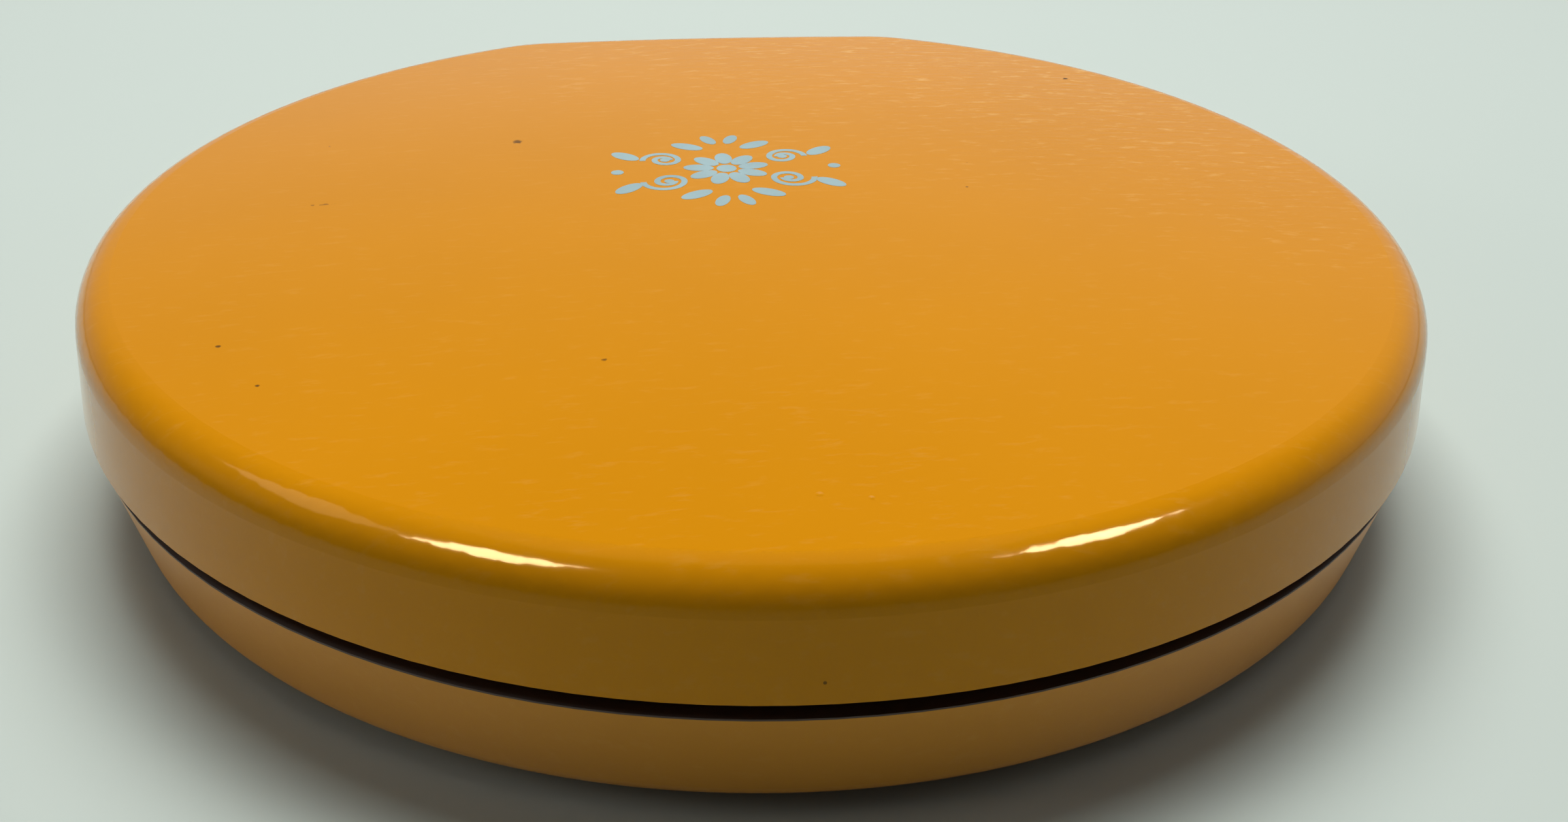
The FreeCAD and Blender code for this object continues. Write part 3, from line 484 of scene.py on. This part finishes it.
def mirror_silver():
    """Silvered glass with faint wipe marks and a few dust specks."""
    s = Shader("mirror_silver", Metallic=1.0)
    wipe = s.streaks((25, 160, 25), (0, 0, 0.6))
    dust = (s.cells(130.0) < 0.03) * (s.noise(31.0, 0.0) > 0.5)
    s.set(Base_Color=s.between(dust, (0.86, 0.88, 0.88, 1.0), (0.5, 0.5, 0.48, 1.0)),
          Roughness=0.02 + (wipe - 0.55).clamped() * 0.16 + dust * 0.4)
    return s.material


def pressed_felt(colour):
    """Matted fibres: tangled lines at two scales, with a soft sheen."""
    s = Shader("felt_white", Sheen_Weight=0.35, Sheen_Roughness=0.5)
    fibres = s.streaks((1500, 5200, 2500), (0.4, 0.3, 0.7), 4.0, 0.7)
    tangle = s.streaks((5200, 1400, 2500), (0.2, 0.9, 0.3), 4.0, 0.7)
    both = (fibres + tangle) * 0.5
    s.set(Base_Color=s.between(both, dim(colour, 0.72), dim(colour, 1.12)),
          Roughness=0.85 + both * 0.1, Normal=s.bump(both * 0.00025))
    return s.material


# ---- case ----------------------------------------------------------------------------------------
class SHAVERSET_OT_case(bpy.types.Operator):
    """Gives the lid and base their gloss plastic, and the base's rim a dark strip of painted shade"""
    bl_idname = "shaverset.case"
    bl_label = "Case"

    def execute(self, context):
        finish = context.scene.shaverset_case
        paint(case_plastic("case_orange", finish, 0.085, 0.0), "lid_shell")
        # the base's copy is rougher and a little paler, the paleness a painted reflection of the floor
        paint(case_plastic("case_orange_base", finish, 0.30, 0.03), "base_shell")
        # the rim's dark strip is painted shade for the gap under the lid, in the tray's dark colour
        self.rim_shade_strip(moulded("rim_shade_brown", context.scene.shaverset_tray.moulding, 0.5, 1600.0,
                               0.00003))
        return {"FINISHED"}

    def rim_shade_strip(self, material):
        """Dark strip let into the base's rim, just inside its outer edge: painted shade that makes the
        gap under the lid look black.
        """
        inset, thickness, sunk = 0.0009, 0.0003, 0.00005
        bm = bmesh.new()
        bm.from_mesh(NODES["base_shell"].data)
        bmesh.ops.remove_doubles(bm, verts=bm.verts, dist=1e-6)
        others = [f for f in bm.faces
                  if f.normal.z <= 0.99 or abs(f.calc_center_median().z - RIM_Z) >= 0.0001]
        bmesh.ops.delete(bm, geom=others, context="FACES")
        edging = bmesh.ops.inset_region(bm, faces=bm.faces[:], thickness=inset,
                                        use_even_offset=True)
        bmesh.ops.delete(bm, geom=edging["faces"], context="FACES")
        thicken(bm, thickness)
        bmesh.ops.translate(bm, verts=bm.verts, vec=(0, 0, -sunk))
        finish_piece("rim_shade_strip", bm, material, "base", smooth=False)


class SHAVERSET_OT_underside(bpy.types.Operator):
    """Adds the moulded rings and gate mark under the base"""
    bl_idname = "shaverset.underside"
    bl_label = "Underside"

    def execute(self, context):
        root = UNDERSIDE_Z + 0.0001             # a little inside the plate
        foot, wide, narrow = root - 0.0005, 0.0006, 0.0004
        bm = bmesh.new()
        for radius in (0.018, 0.050, 0.082):
            turned_ring(bm, Vector((0, ROUND_Y, 0)), (0, 0, 1), (
                (root, radius - wide), (root, radius + wide),
                (foot, radius + narrow), (foot, radius - narrow)))
        gate = 0.0006                           # height of the gate mark
        bmesh.ops.create_cone(bm, cap_ends=True, segments=32, radius1=0.0022, radius2=0.0030,
                              depth=gate,
                              matrix=Matrix.Translation((0, ROUND_Y, root - gate / 2)))
        finish_piece("underside_rings", bm, bpy.data.materials["case_orange_base"], "base",
                     smooth=False)
        return {"FINISHED"}


class SHAVERSET_OT_emblem(bpy.types.Operator):
    """Prints a daisy with leaves and scrolls on the lid"""
    bl_idname = "shaverset.emblem"
    bl_label = "Emblem"

    tighter = 0.66              # each half turn of a curl to the one before
    # leaves: across, up, half width, stretch and turn
    leaves = ((18.8, 8.4, 1.6, 2.0, 0.75), (6.6, 12.6, 1.6, 2.1, 0.55), (2.2, 16.0, 1.25, 2.1, 1.2))

    def execute(self, context):
        emblem = context.scene.shaverset_emblem
        unit = emblem.size / 7.8                # the ornament is drawn with a daisy of 7.8 units
        bm = bmesh.new()
        self.daisy(bm, unit)
        for side in (-1, 1):
            self.scroll(bm, unit, side)
        bmesh.ops.translate(bm, verts=bm.verts, vec=(emblem.across, ROUND_Y + emblem.back, 0))
        bmesh.ops.triangulate(bm, faces=[f for f in bm.faces if len(f.verts) > 4])
        bmesh.ops.subdivide_edges(bm, cuts=1, edges=[e for e in bm.edges
                                                     if e.calc_length() > 0.002])
        thicken(bm, emblem.thickness)
        lay_on(bm, "lid_shell", 0.00001)
        finish_piece("emblem", bm, self.ink(emblem), "lid", smooth=False)
        return {"FINISHED"}

    def daisy(self, bm, unit):
        """A round heart and nine petals."""
        petals, reach = 9, 5.3 * unit
        disc(bm, 0, 0, 1.9 * unit)
        for i in range(petals):
            turn = math.tau * i / petals + 0.2
            disc(bm, reach * math.cos(turn), reach * math.sin(turn), 1.65 * unit, 1.75, turn)

    def scroll(self, bm, unit, side):
        """A curl and three leaves above and below, and a dot between them, on one side."""
        for level, size in ((1, 1.0), (-1, 1.12)):
            hand = side * level
            begin = math.pi / 2 * (1 - side)
            centre = Vector((side * 12.2, level * 5.6)) * unit
            radius = 3.4 * size * unit
            for half_turn in range(3):
                end = Vector(sweep(bm, centre, radius, 1.15 * unit, begin, hand * math.pi))
                begin += hand * math.pi
                centre = end + (centre - end) * self.tighter
                radius *= self.tighter
            disc(bm, centre.x, centre.y, 0.95 * unit)
            for x, y, leaf, stretch, turn in self.leaves:
                disc(bm, side * x * unit, level * y * unit, leaf * unit, stretch, hand * turn)
        disc(bm, side * 20.6 * unit, 0, 1.2 * unit)

    def ink(self, emblem):
        """Silvery blue ink, a little rubbed."""
        s = Shader("emblem_ink")
        worn = s.noise(700.0)
        patch = s.noise(90.0, 2.0)
        s.set(Base_Color=s.between(patch, dim(emblem.ink, 0.82), dim(emblem.ink, 1.15)),
              Roughness=0.30 + worn * 0.2, Metallic=0.25 + worn * 0.1,
              Normal=s.bump(worn * 0.00001))
        return s.material


class SHAVERSET_OT_hinges(bpy.types.Operator):
    """Gives the pins, screws and springs drawn steel, and the hinge pins turned heads"""
    bl_idname = "shaverset.hinges"
    bl_label = "Hinges"

    def execute(self, context):
        steel = drawn_metal("pin_steel", (0.60, 0.60, 0.58), 0.22, (1500, 60, 1500))
        paint(steel, "hinge_pins", "casing_screws", "rocker_pin", "centring_springs",
              "cutter_springs", "inlet_pins")
        low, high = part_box("hinge_pins")
        radius = (high.z - low.z) / 2
        rim, face, bore = radius * 0.98, radius * 0.80, radius * 0.62
        centre = middle("hinge_pins")
        bm = bmesh.new()
        for end, sign in ((low.x, -1), (high.x, 1)):
            turned_ring(bm, Vector((end, centre.y, centre.z)), (sign, 0, 0), (
                (-0.0004, bore), (-0.0004, rim), (0.0, rim), (0.00015, face), (0.00018, bore)), 32)
        finish_piece("hinge_pin_heads", bm, steel, "base")
        return {"FINISHED"}


class SHAVERSET_OT_mirror(bpy.types.Operator):
    """Silvers the mirror and adds a bead to its ring"""
    bl_idname = "shaverset.mirror"
    bl_label = "Mirror"

    def execute(self, context):
        paint(mirror_silver(), "mirror_glass")
        cream = moulded("ring_cream", context.scene.shaverset_tray.ring, 0.22, 700.0, 0.000006)
        paint(cream, "mirror_ring")
        low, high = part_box("mirror_ring")
        centre = middle("mirror_ring")
        centre.z = 0
        bead = (high.x - low.x) / 2 - 0.0028    # middle of the bead, from the ring's middle
        root, crest = low.z + 0.0002, low.z - 0.0002
        bm = bmesh.new()
        turned_ring(bm, centre, (0, 0, 1), (
            (root, bead - 0.0008), (crest, bead - 0.0004),
            (crest, bead + 0.0004), (root, bead + 0.0008)), 160)
        finish_piece("mirror_bead", bm, cream, "lid")
        return {"FINISHED"}


class SHAVERSET_OT_tray(bpy.types.Operator):
    """Gives the tray its fine-grained dark moulding"""
    bl_idname = "shaverset.tray"
    bl_label = "Tray"

    def execute(self, context):
        brown = moulded("tray_brown", context.scene.shaverset_tray.moulding, 0.50, 1600.0,
                        0.00005, 0.05)
        paint(brown, "inner_tray")
        return {"FINISHED"}


class SHAVERSET_OT_handle(bpy.types.Operator):
    """Finishes the shaver's plastic parts and marks both ends of the switch's travel"""
    bl_idname = "shaverset.handle"
    bl_label = "Handle"

    def execute(self, context):
        look = context.scene.shaverset_shaver
        cream = moulded("handle_cream", look.cream, 0.20, 650.0, 0.000006)
        orange = moulded("handle_orange", look.orange, 0.18, 650.0, 0.000006)
        brown = moulded("switch_brown", look.brown, 0.32, 900.0, 0.00001)
        black = moulded("black_plastic", (0.018, 0.018, 0.018), 0.42, 1200.0, 0.00002)
        paint(cream, "handle_upper_shell", "foil_frame", "bristle_brush",
              *(name + "_hub" for name in ATTACHMENTS))
        paint(orange, "handle_lower_shell", "head_housing", "massage_ball", "dimple_roller")
        paint(brown, "power_slider", "release_button_front", "release_button_rear")
        paint(black, "inlet_socket", "switch_block", "cutter_carrier")
        self.marks(brown)
        return {"FINISHED"}

    def marks(self, material):
        """A dot beyond one end of the switch and a ring beyond the other."""
        low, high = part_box("power_slider")
        y = middle("power_slider").y
        bm = bmesh.new()
        disc(bm, high.x + 0.0085, y, 0.0011)
        sweep(bm, (low.x - 0.0045, y), 0.0010, 0.0004, 0, math.tau, 32)
        bmesh.ops.remove_doubles(bm, verts=bm.verts, dist=1e-6)
        thicken(bm, 0.00006)
        lay_on(bm, "handle_upper_shell", 0.00002)
        finish_piece("switch_marks", bm, material, "base", smooth=False)


class SHAVERSET_OT_drive(bpy.types.Operator):
    """Finishes the motor's plates, coils, chassis and capacitor"""
    bl_idname = "shaverset.drive"
    bl_label = "Drive"

    def execute(self, context):
        plates = banded("core_iron", (0.16, 0.17, 0.19), 0.001, 2, 0.00006, Metallic=0.8)
        copper = banded("copper_wire", (0.56, 0.20, 0.06), 0.0004, 0, 0.00006, Metallic=0.9,
                        Coat_Weight=0.6, Coat_Roughness=0.15)
        natural = moulded("chassis_plastic", (0.55, 0.51, 0.42), 0.45)
        red = moulded("capacitor_red", (0.30, 0.045, 0.018), 0.30, 700.0, 0.00003)
        paint(plates, "stator_core", "armature")
        paint(copper, "coil_windings")
        paint(natural, "motor_chassis", "coil_bobbins", "rocker_arm")
        paint(red, "suppressor_capacitor")
        return {"FINISHED"}


class SHAVERSET_OT_springs(bpy.types.Operator):
    """Cuts the centring springs and the cutter's springs into pieces of their own, one for each spring
    """
    bl_idname = "shaverset.springs"
    bl_label = "Springs"

    def execute(self, context):
        # the centring springs lie across, one each side of the rocker
        for side, place in ((-1, "_front"), (1, "_rear")):
            self.spring("centring_spring" + place, "centring_springs", side, "rocker", 1, side < 0)
        # the cutter's springs lie along the handle, with the cutter at their left ends
        for side, place in ((-1, "_front"), (1, "_rear")):
            self.spring("cutter_spring" + place, "cutter_springs", side, "cutter", 0, False)
        return {"FINISHED"}

    def spring(self, name, node, side, body, axis, held_low):
        """One of a node's two springs, cut out as a piece of its own.

        The body is not used, and neither are the ends that held_low puts in order.
        """
        centre = middle(node)
        bm = bmesh.new()
        bm.from_mesh(NODES[node].data)
        bmesh.ops.remove_doubles(bm, verts=bm.verts, dist=1e-7)
        others = [v for v in bm.verts if (v.co.y - centre.y) * side < 0]
        bmesh.ops.delete(bm, geom=others, context="VERTS")
        along = [v.co[axis] for v in bm.verts]
        held, led = centre.copy(), centre.copy()
        held[axis], led[axis] = max(along), min(along)
        if held_low:
            held, led = led, held
        piece = new_object(name, bm, bpy.data.materials["pin_steel"])
        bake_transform(piece)
        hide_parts(node)


class SHAVERSET_OT_foil(bpy.types.Operator):
    """Pierces the shaving foil, bends it over the head and grinds the blades under it"""
    bl_idname = "shaverset.foil"
    bl_label = "Foil"

    def execute(self, context):
        look = context.scene.shaverset_shaver
        blade = drawn_metal("blade_steel", (0.58, 0.58, 0.58), 0.20, (1500, 1500, 40))
        paint(blade, "cutter_blades")
        foil = drawn_metal("foil_steel", (0.72, 0.72, 0.70), 0.18, (1200, 30, 1200))
        paint(foil, "shaving_foil")
        low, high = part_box("shaving_foil")
        radius = (high.z - low.z) / 2
        axis = Vector((low.x + radius, (low.y + high.y) / 2, (low.z + high.z) / 2))
        legs = high.x - axis.x                  # straight parts past the bend
        across = math.pi * radius + 2 * legs
        length = high.y - low.y
        web, margin = look.hole * 0.17, look.hole * 2.5
        bm = bmesh.new()
        bmesh.ops.create_grid(bm, x_segments=round(across / look.hole),
                              y_segments=round(length / look.hole), size=0.5)
        bmesh.ops.scale(bm, verts=bm.verts, vec=(across, length, 1))
        pierced = [f for f in bm.faces
                   if abs(f.calc_center_median().x) < across / 2 - legs
                   and abs(f.calc_center_median().y) < length / 2 - margin]
        bmesh.ops.inset_individual(bm, faces=pierced, thickness=web)
        bmesh.ops.delete(bm, geom=pierced, context="FACES")
        thicken(bm, look.foil)
        for vert in bm.verts:
            self.bend(vert, radius, axis, look.foil)
        finish_piece("pierced_foil", bm, foil, "base", ("shaving_foil",),
                     smooth=False)
        return {"FINISHED"}

    def bend(self, vert, radius, axis, thickness):
        """Wraps the flat sheet: straight leg, half round, straight leg."""
        run = vert.co.x
        out = radius - thickness + vert.co.z
        half = math.pi * radius / 2
        if abs(run) <= half:
            turn = run / radius
            x, z = -out * math.cos(turn), out * math.sin(turn)
        else:
            x, z = abs(run) - half, math.copysign(out, run)
        vert.co = axis + Vector((x, vert.co.y, z))


class SHAVERSET_OT_attachments(bpy.types.Operator):
    """Finishes the push-on attachments, their grip ribs and the brush's bristles"""
    bl_idname = "shaverset.attachments"
    bl_label = "Attachments"

    def execute(self, context):
        sizes = context.scene.shaverset_attachments
        rubber = moulded("rubber_cream", (0.66, 0.54, 0.36), 0.55, 1400.0, 0.00004)
        pink = grit("abrasive_pink", (0.50, 0.21, 0.14), 2600.0, 0.00018)
        grey = grit("file_grey", (0.22, 0.205, 0.19), 3600.0, 0.00009)
        paint(rubber, "massage_cup", "cuticle_tip")
        paint(pink, "callus_drum")
        paint(grey, "nail_file")
        paint(pressed_felt((0.74, 0.70, 0.60)), "felt_buffer")
        self.bristles(sizes)
        self.ribs(sizes)
        return {"FINISHED"}

    def bristles(self, sizes):
        """Bundles of bristles in the places of the brush's tufts."""
        s = Shader("bristle_white", Roughness=0.3, Subsurface_Weight=0.15, Subsurface_Scale=0.001)
        s.set(Base_Color=s.between(s.noise(900.0), (0.62, 0.57, 0.46, 1.0),
                                   (0.88, 0.85, 0.76, 1.0)))
        low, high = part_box("brush_tufts")
        centre = (low + high) / 2
        tuft, outermost = 0.001, 0.76           # a tuft's radius, and the last circle's share
        block = (high.x - low.x - 2 * tuft) / 2 / outermost
        chance = random.Random(7)
        bm = bmesh.new()
        for count, share in ((1, 0.0), (6, 0.38), (12, outermost)):
            for i in range(count):
                turn = math.tau * i / count
                foot = Vector((centre.x + block * share * math.cos(turn),
                               centre.y + block * share * math.sin(turn), low.z))
                self.tuft(bm, foot, tuft * 0.9, high.z - low.z, sizes, chance)
        finish_piece("bristles", bm, s.material, "base", ("brush_tufts",))

    def tuft(self, bm, foot, radius, height, sizes, chance):
        """One bundle, spread from its middle outwards, each bristle with a slight lean."""
        sway = 0.035
        for k in range(sizes.fibres):
            swirl, out = 2.4 * k, radius * math.sqrt((k + 0.5) / sizes.fibres)
            lean = Matrix.Rotation(chance.uniform(-sway, sway), 4, "X") @ Matrix.Rotation(
                chance.uniform(-sway, sway), 4, "Y")
            tall = height * chance.uniform(0.93, 0.995)
            spot = foot + Vector((out * math.cos(swirl), out * math.sin(swirl), 0))
            bmesh.ops.create_cone(
                bm, cap_ends=True, segments=5, radius1=sizes.bristle, radius2=sizes.bristle * 0.6,
                depth=tall,
                matrix=Matrix.Translation(spot) @ lean @ Matrix.Translation((0, 0, tall / 2)))

    def ribs(self, sizes):
        """Grip ribs round the top of each hub's collar."""
        width, height, below_top, edge = 0.0006, 0.0015, 0.0011, 0.00014
        for name in ATTACHMENTS:
            low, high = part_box(name + "_hub")
            centre = (low + high) / 2
            bm = bmesh.new()
            bmesh.ops.create_cube(bm, size=1, matrix=at(
                high.x, centre.y, high.z - below_top, scale=(width, width, height)))
            bmesh.ops.bevel(bm, geom=bm.edges[:], offset=edge, affect="EDGES", segments=1,
                            profile=0.5, material=-1)
            bmesh.ops.spin(bm, geom=bm.verts[:] + bm.edges[:] + bm.faces[:], cent=centre,
                           axis=(0, 0, 1), angle=math.tau * (sizes.ribs - 1) / sizes.ribs,
                           steps=sizes.ribs - 1, use_duplicate=True)
            finish_piece(name + "_grip", bm, bpy.data.materials["handle_cream"], "base",
                         smooth=False)


# ---- stage ---------------------------------------------------------------------------------------
def area_light(name, place, aim, width, height, watts, colour=(1, 1, 1)):
    """Soft rectangular light that points at a place."""
    data = bpy.data.lights.new(name, "AREA")
    data.shape = "RECTANGLE"
    data.size = width
    data.size_y = height
    data.energy = watts
    data.color = colour
    lamp = bpy.data.objects.new(name, data)
    bpy.context.scene.collection.objects.link(lamp)
    facing = (Vector(aim) - Vector(place)).to_track_quat("-Z", "Y")
    lamp.matrix_world = Matrix.Translation(place) @ facing.to_matrix().to_4x4()
    lamp.visible_camera = False
    return lamp


class SHAVERSET_OT_studio(bpy.types.Operator):
    """Pale floor, soft lights and the camera"""
    bl_idname = "shaverset.studio"
    bl_label = "Studio"

    def execute(self, context):
        scene = context.scene
        studio = scene.shaverset_studio
        self.floor(studio)
        self.lights(scene, studio)
        self.camera(scene, studio)
        scene.view_settings.view_transform = "Standard"
        return {"FINISHED"}

    def floor(self, studio):
        """Pale table top; its edges are out of the front view."""
        s = Shader("pale_floor", Base_Color=full(studio.floor), Specular_IOR_Level=0.35)
        s.set(Roughness=0.40 + 0.10 * s.noise(6.0, 2.0))
        bm = bmesh.new()
        bmesh.ops.create_grid(bm, x_segments=1, y_segments=1, size=4.0)
        new_object("floor", bm, s.material)

    def lights(self, scene, studio):
        """Air that is brighter low at the back, three lamps and three reflections."""
        scene.world = bpy.data.worlds.new("studio_air")
        air = Shader("studio_air", scene.world, Color=(0.92, 0.97, 1.0, 1.0))
        low_back = air.dot(air.node("ShaderNodeTexCoord", output="Generated"), (0.30, 0.75, -1.15))
        air.set(Strength=studio.air + (low_back + 0.22).clamped() * studio.glow)
        # each light: name, place, aim, width, height, watts and colour
        for light in (
                ("overhead", (0.05, 0.42, 1.25), (0, 0, 0), 0.9, 0.7, 24.0, (1.0, 0.985, 0.94)),
                ("fill_left", (-1.1, 0.02, 0.36), (0, 0.02, 0.02), 0.5, 0.3, 1.7, (1, 0.96, 0.90)),
                ("fill_right", (1.1, 0.02, 0.36), (0, 0.02, 0.02), 0.5, 0.3, 0.6, (1, 0.96, 0.90))):
            area_light(*light).visible_glossy = False       # lights, but isn't reflected
        for light in (
                ("window_left", (-0.645, -0.36, 1.04), (0, -0.1, 0.04), 0.34, 0.30, 15.0),
                ("window_right", (0.667, -0.183, 1.055), (0, -0.1, 0.04), 0.34, 0.28, 15.0),
                ("warm_left", (-1.0, 0.10, 1.0), (-0.06, -0.09, 0.04), 0.5, 0.4, 1.6,
                 (1.0, 0.93, 0.80))):
            area_light(*light).visible_diffuse = False      # is reflected, but doesn't light

    def camera(self, scene, studio):
        """Places the camera by its heading, tilt and lean."""
        turn, tilt, lean = studio.heading, studio.tilt, studio.lean
        ahead = Vector((math.sin(turn) * math.cos(tilt), math.cos(turn) * math.cos(tilt),
                        math.sin(tilt)))
        right = ahead.cross(Vector((0, 0, 1))).normalized()
        up = right.cross(ahead)
        leaned_right = math.cos(lean) * right + math.sin(lean) * up
        leaned_up = math.cos(lean) * up - math.sin(lean) * right
        data = bpy.data.cameras.new("camera")
        data.sensor_width = 36
        data.lens = studio.focal
        data.clip_start = 0.01
        camera = bpy.data.objects.new("camera", data)
        scene.collection.objects.link(camera)
        basis = Matrix((leaned_right, leaned_up, -ahead)).transposed().to_4x4()
        camera.matrix_world = Matrix.Translation(studio.eye) @ basis
        scene.camera = camera


class SHAVERSET_PT_looks(bpy.types.Panel):
    """Lists the pieces that can be built"""
    bl_idname = "SHAVERSET_PT_looks"
    bl_label = "Shaver Set"
    bl_space_type = "VIEW_3D"
    bl_region_type = "UI"
    bl_category = "Shaver Set"

    def draw(self, context):
        for operator in OPERATORS:
            self.layout.operator(operator.bl_idname)


OPERATORS = (SHAVERSET_OT_studio, SHAVERSET_OT_case, SHAVERSET_OT_underside, SHAVERSET_OT_emblem,
             SHAVERSET_OT_hinges, SHAVERSET_OT_mirror, SHAVERSET_OT_tray, SHAVERSET_OT_handle,
             SHAVERSET_OT_drive, SHAVERSET_OT_springs, SHAVERSET_OT_foil, SHAVERSET_OT_attachments)
GROUPS = {"shaverset_case": CaseFinish, "shaverset_emblem": EmblemSettings,
          "shaverset_tray": TrayFinish, "shaverset_shaver": ShaverFinish,
          "shaverset_attachments": AttachmentSettings, "shaverset_studio": StudioSettings}


def register():
    for group in GROUPS.values():
        bpy.utils.register_class(group)
    for name, group in GROUPS.items():
        setattr(bpy.types.Scene, name, bpy.props.PointerProperty(type=group))
    for cls in OPERATORS + (SHAVERSET_PT_looks,):
        bpy.utils.register_class(cls)


def unregister():
    for cls in (SHAVERSET_PT_looks,) + OPERATORS[::-1]:
        bpy.utils.unregister_class(cls)
    for name in GROUPS:
        delattr(bpy.types.Scene, name)
    for group in GROUPS.values():
        bpy.utils.unregister_class(group)


def main():
    """Builds every piece and the stage."""
    register()
    for operator in OPERATORS:
        getattr(bpy.ops.shaverset, operator.bl_idname.split(".")[1])()


if __name__ == "__main__":
    main()
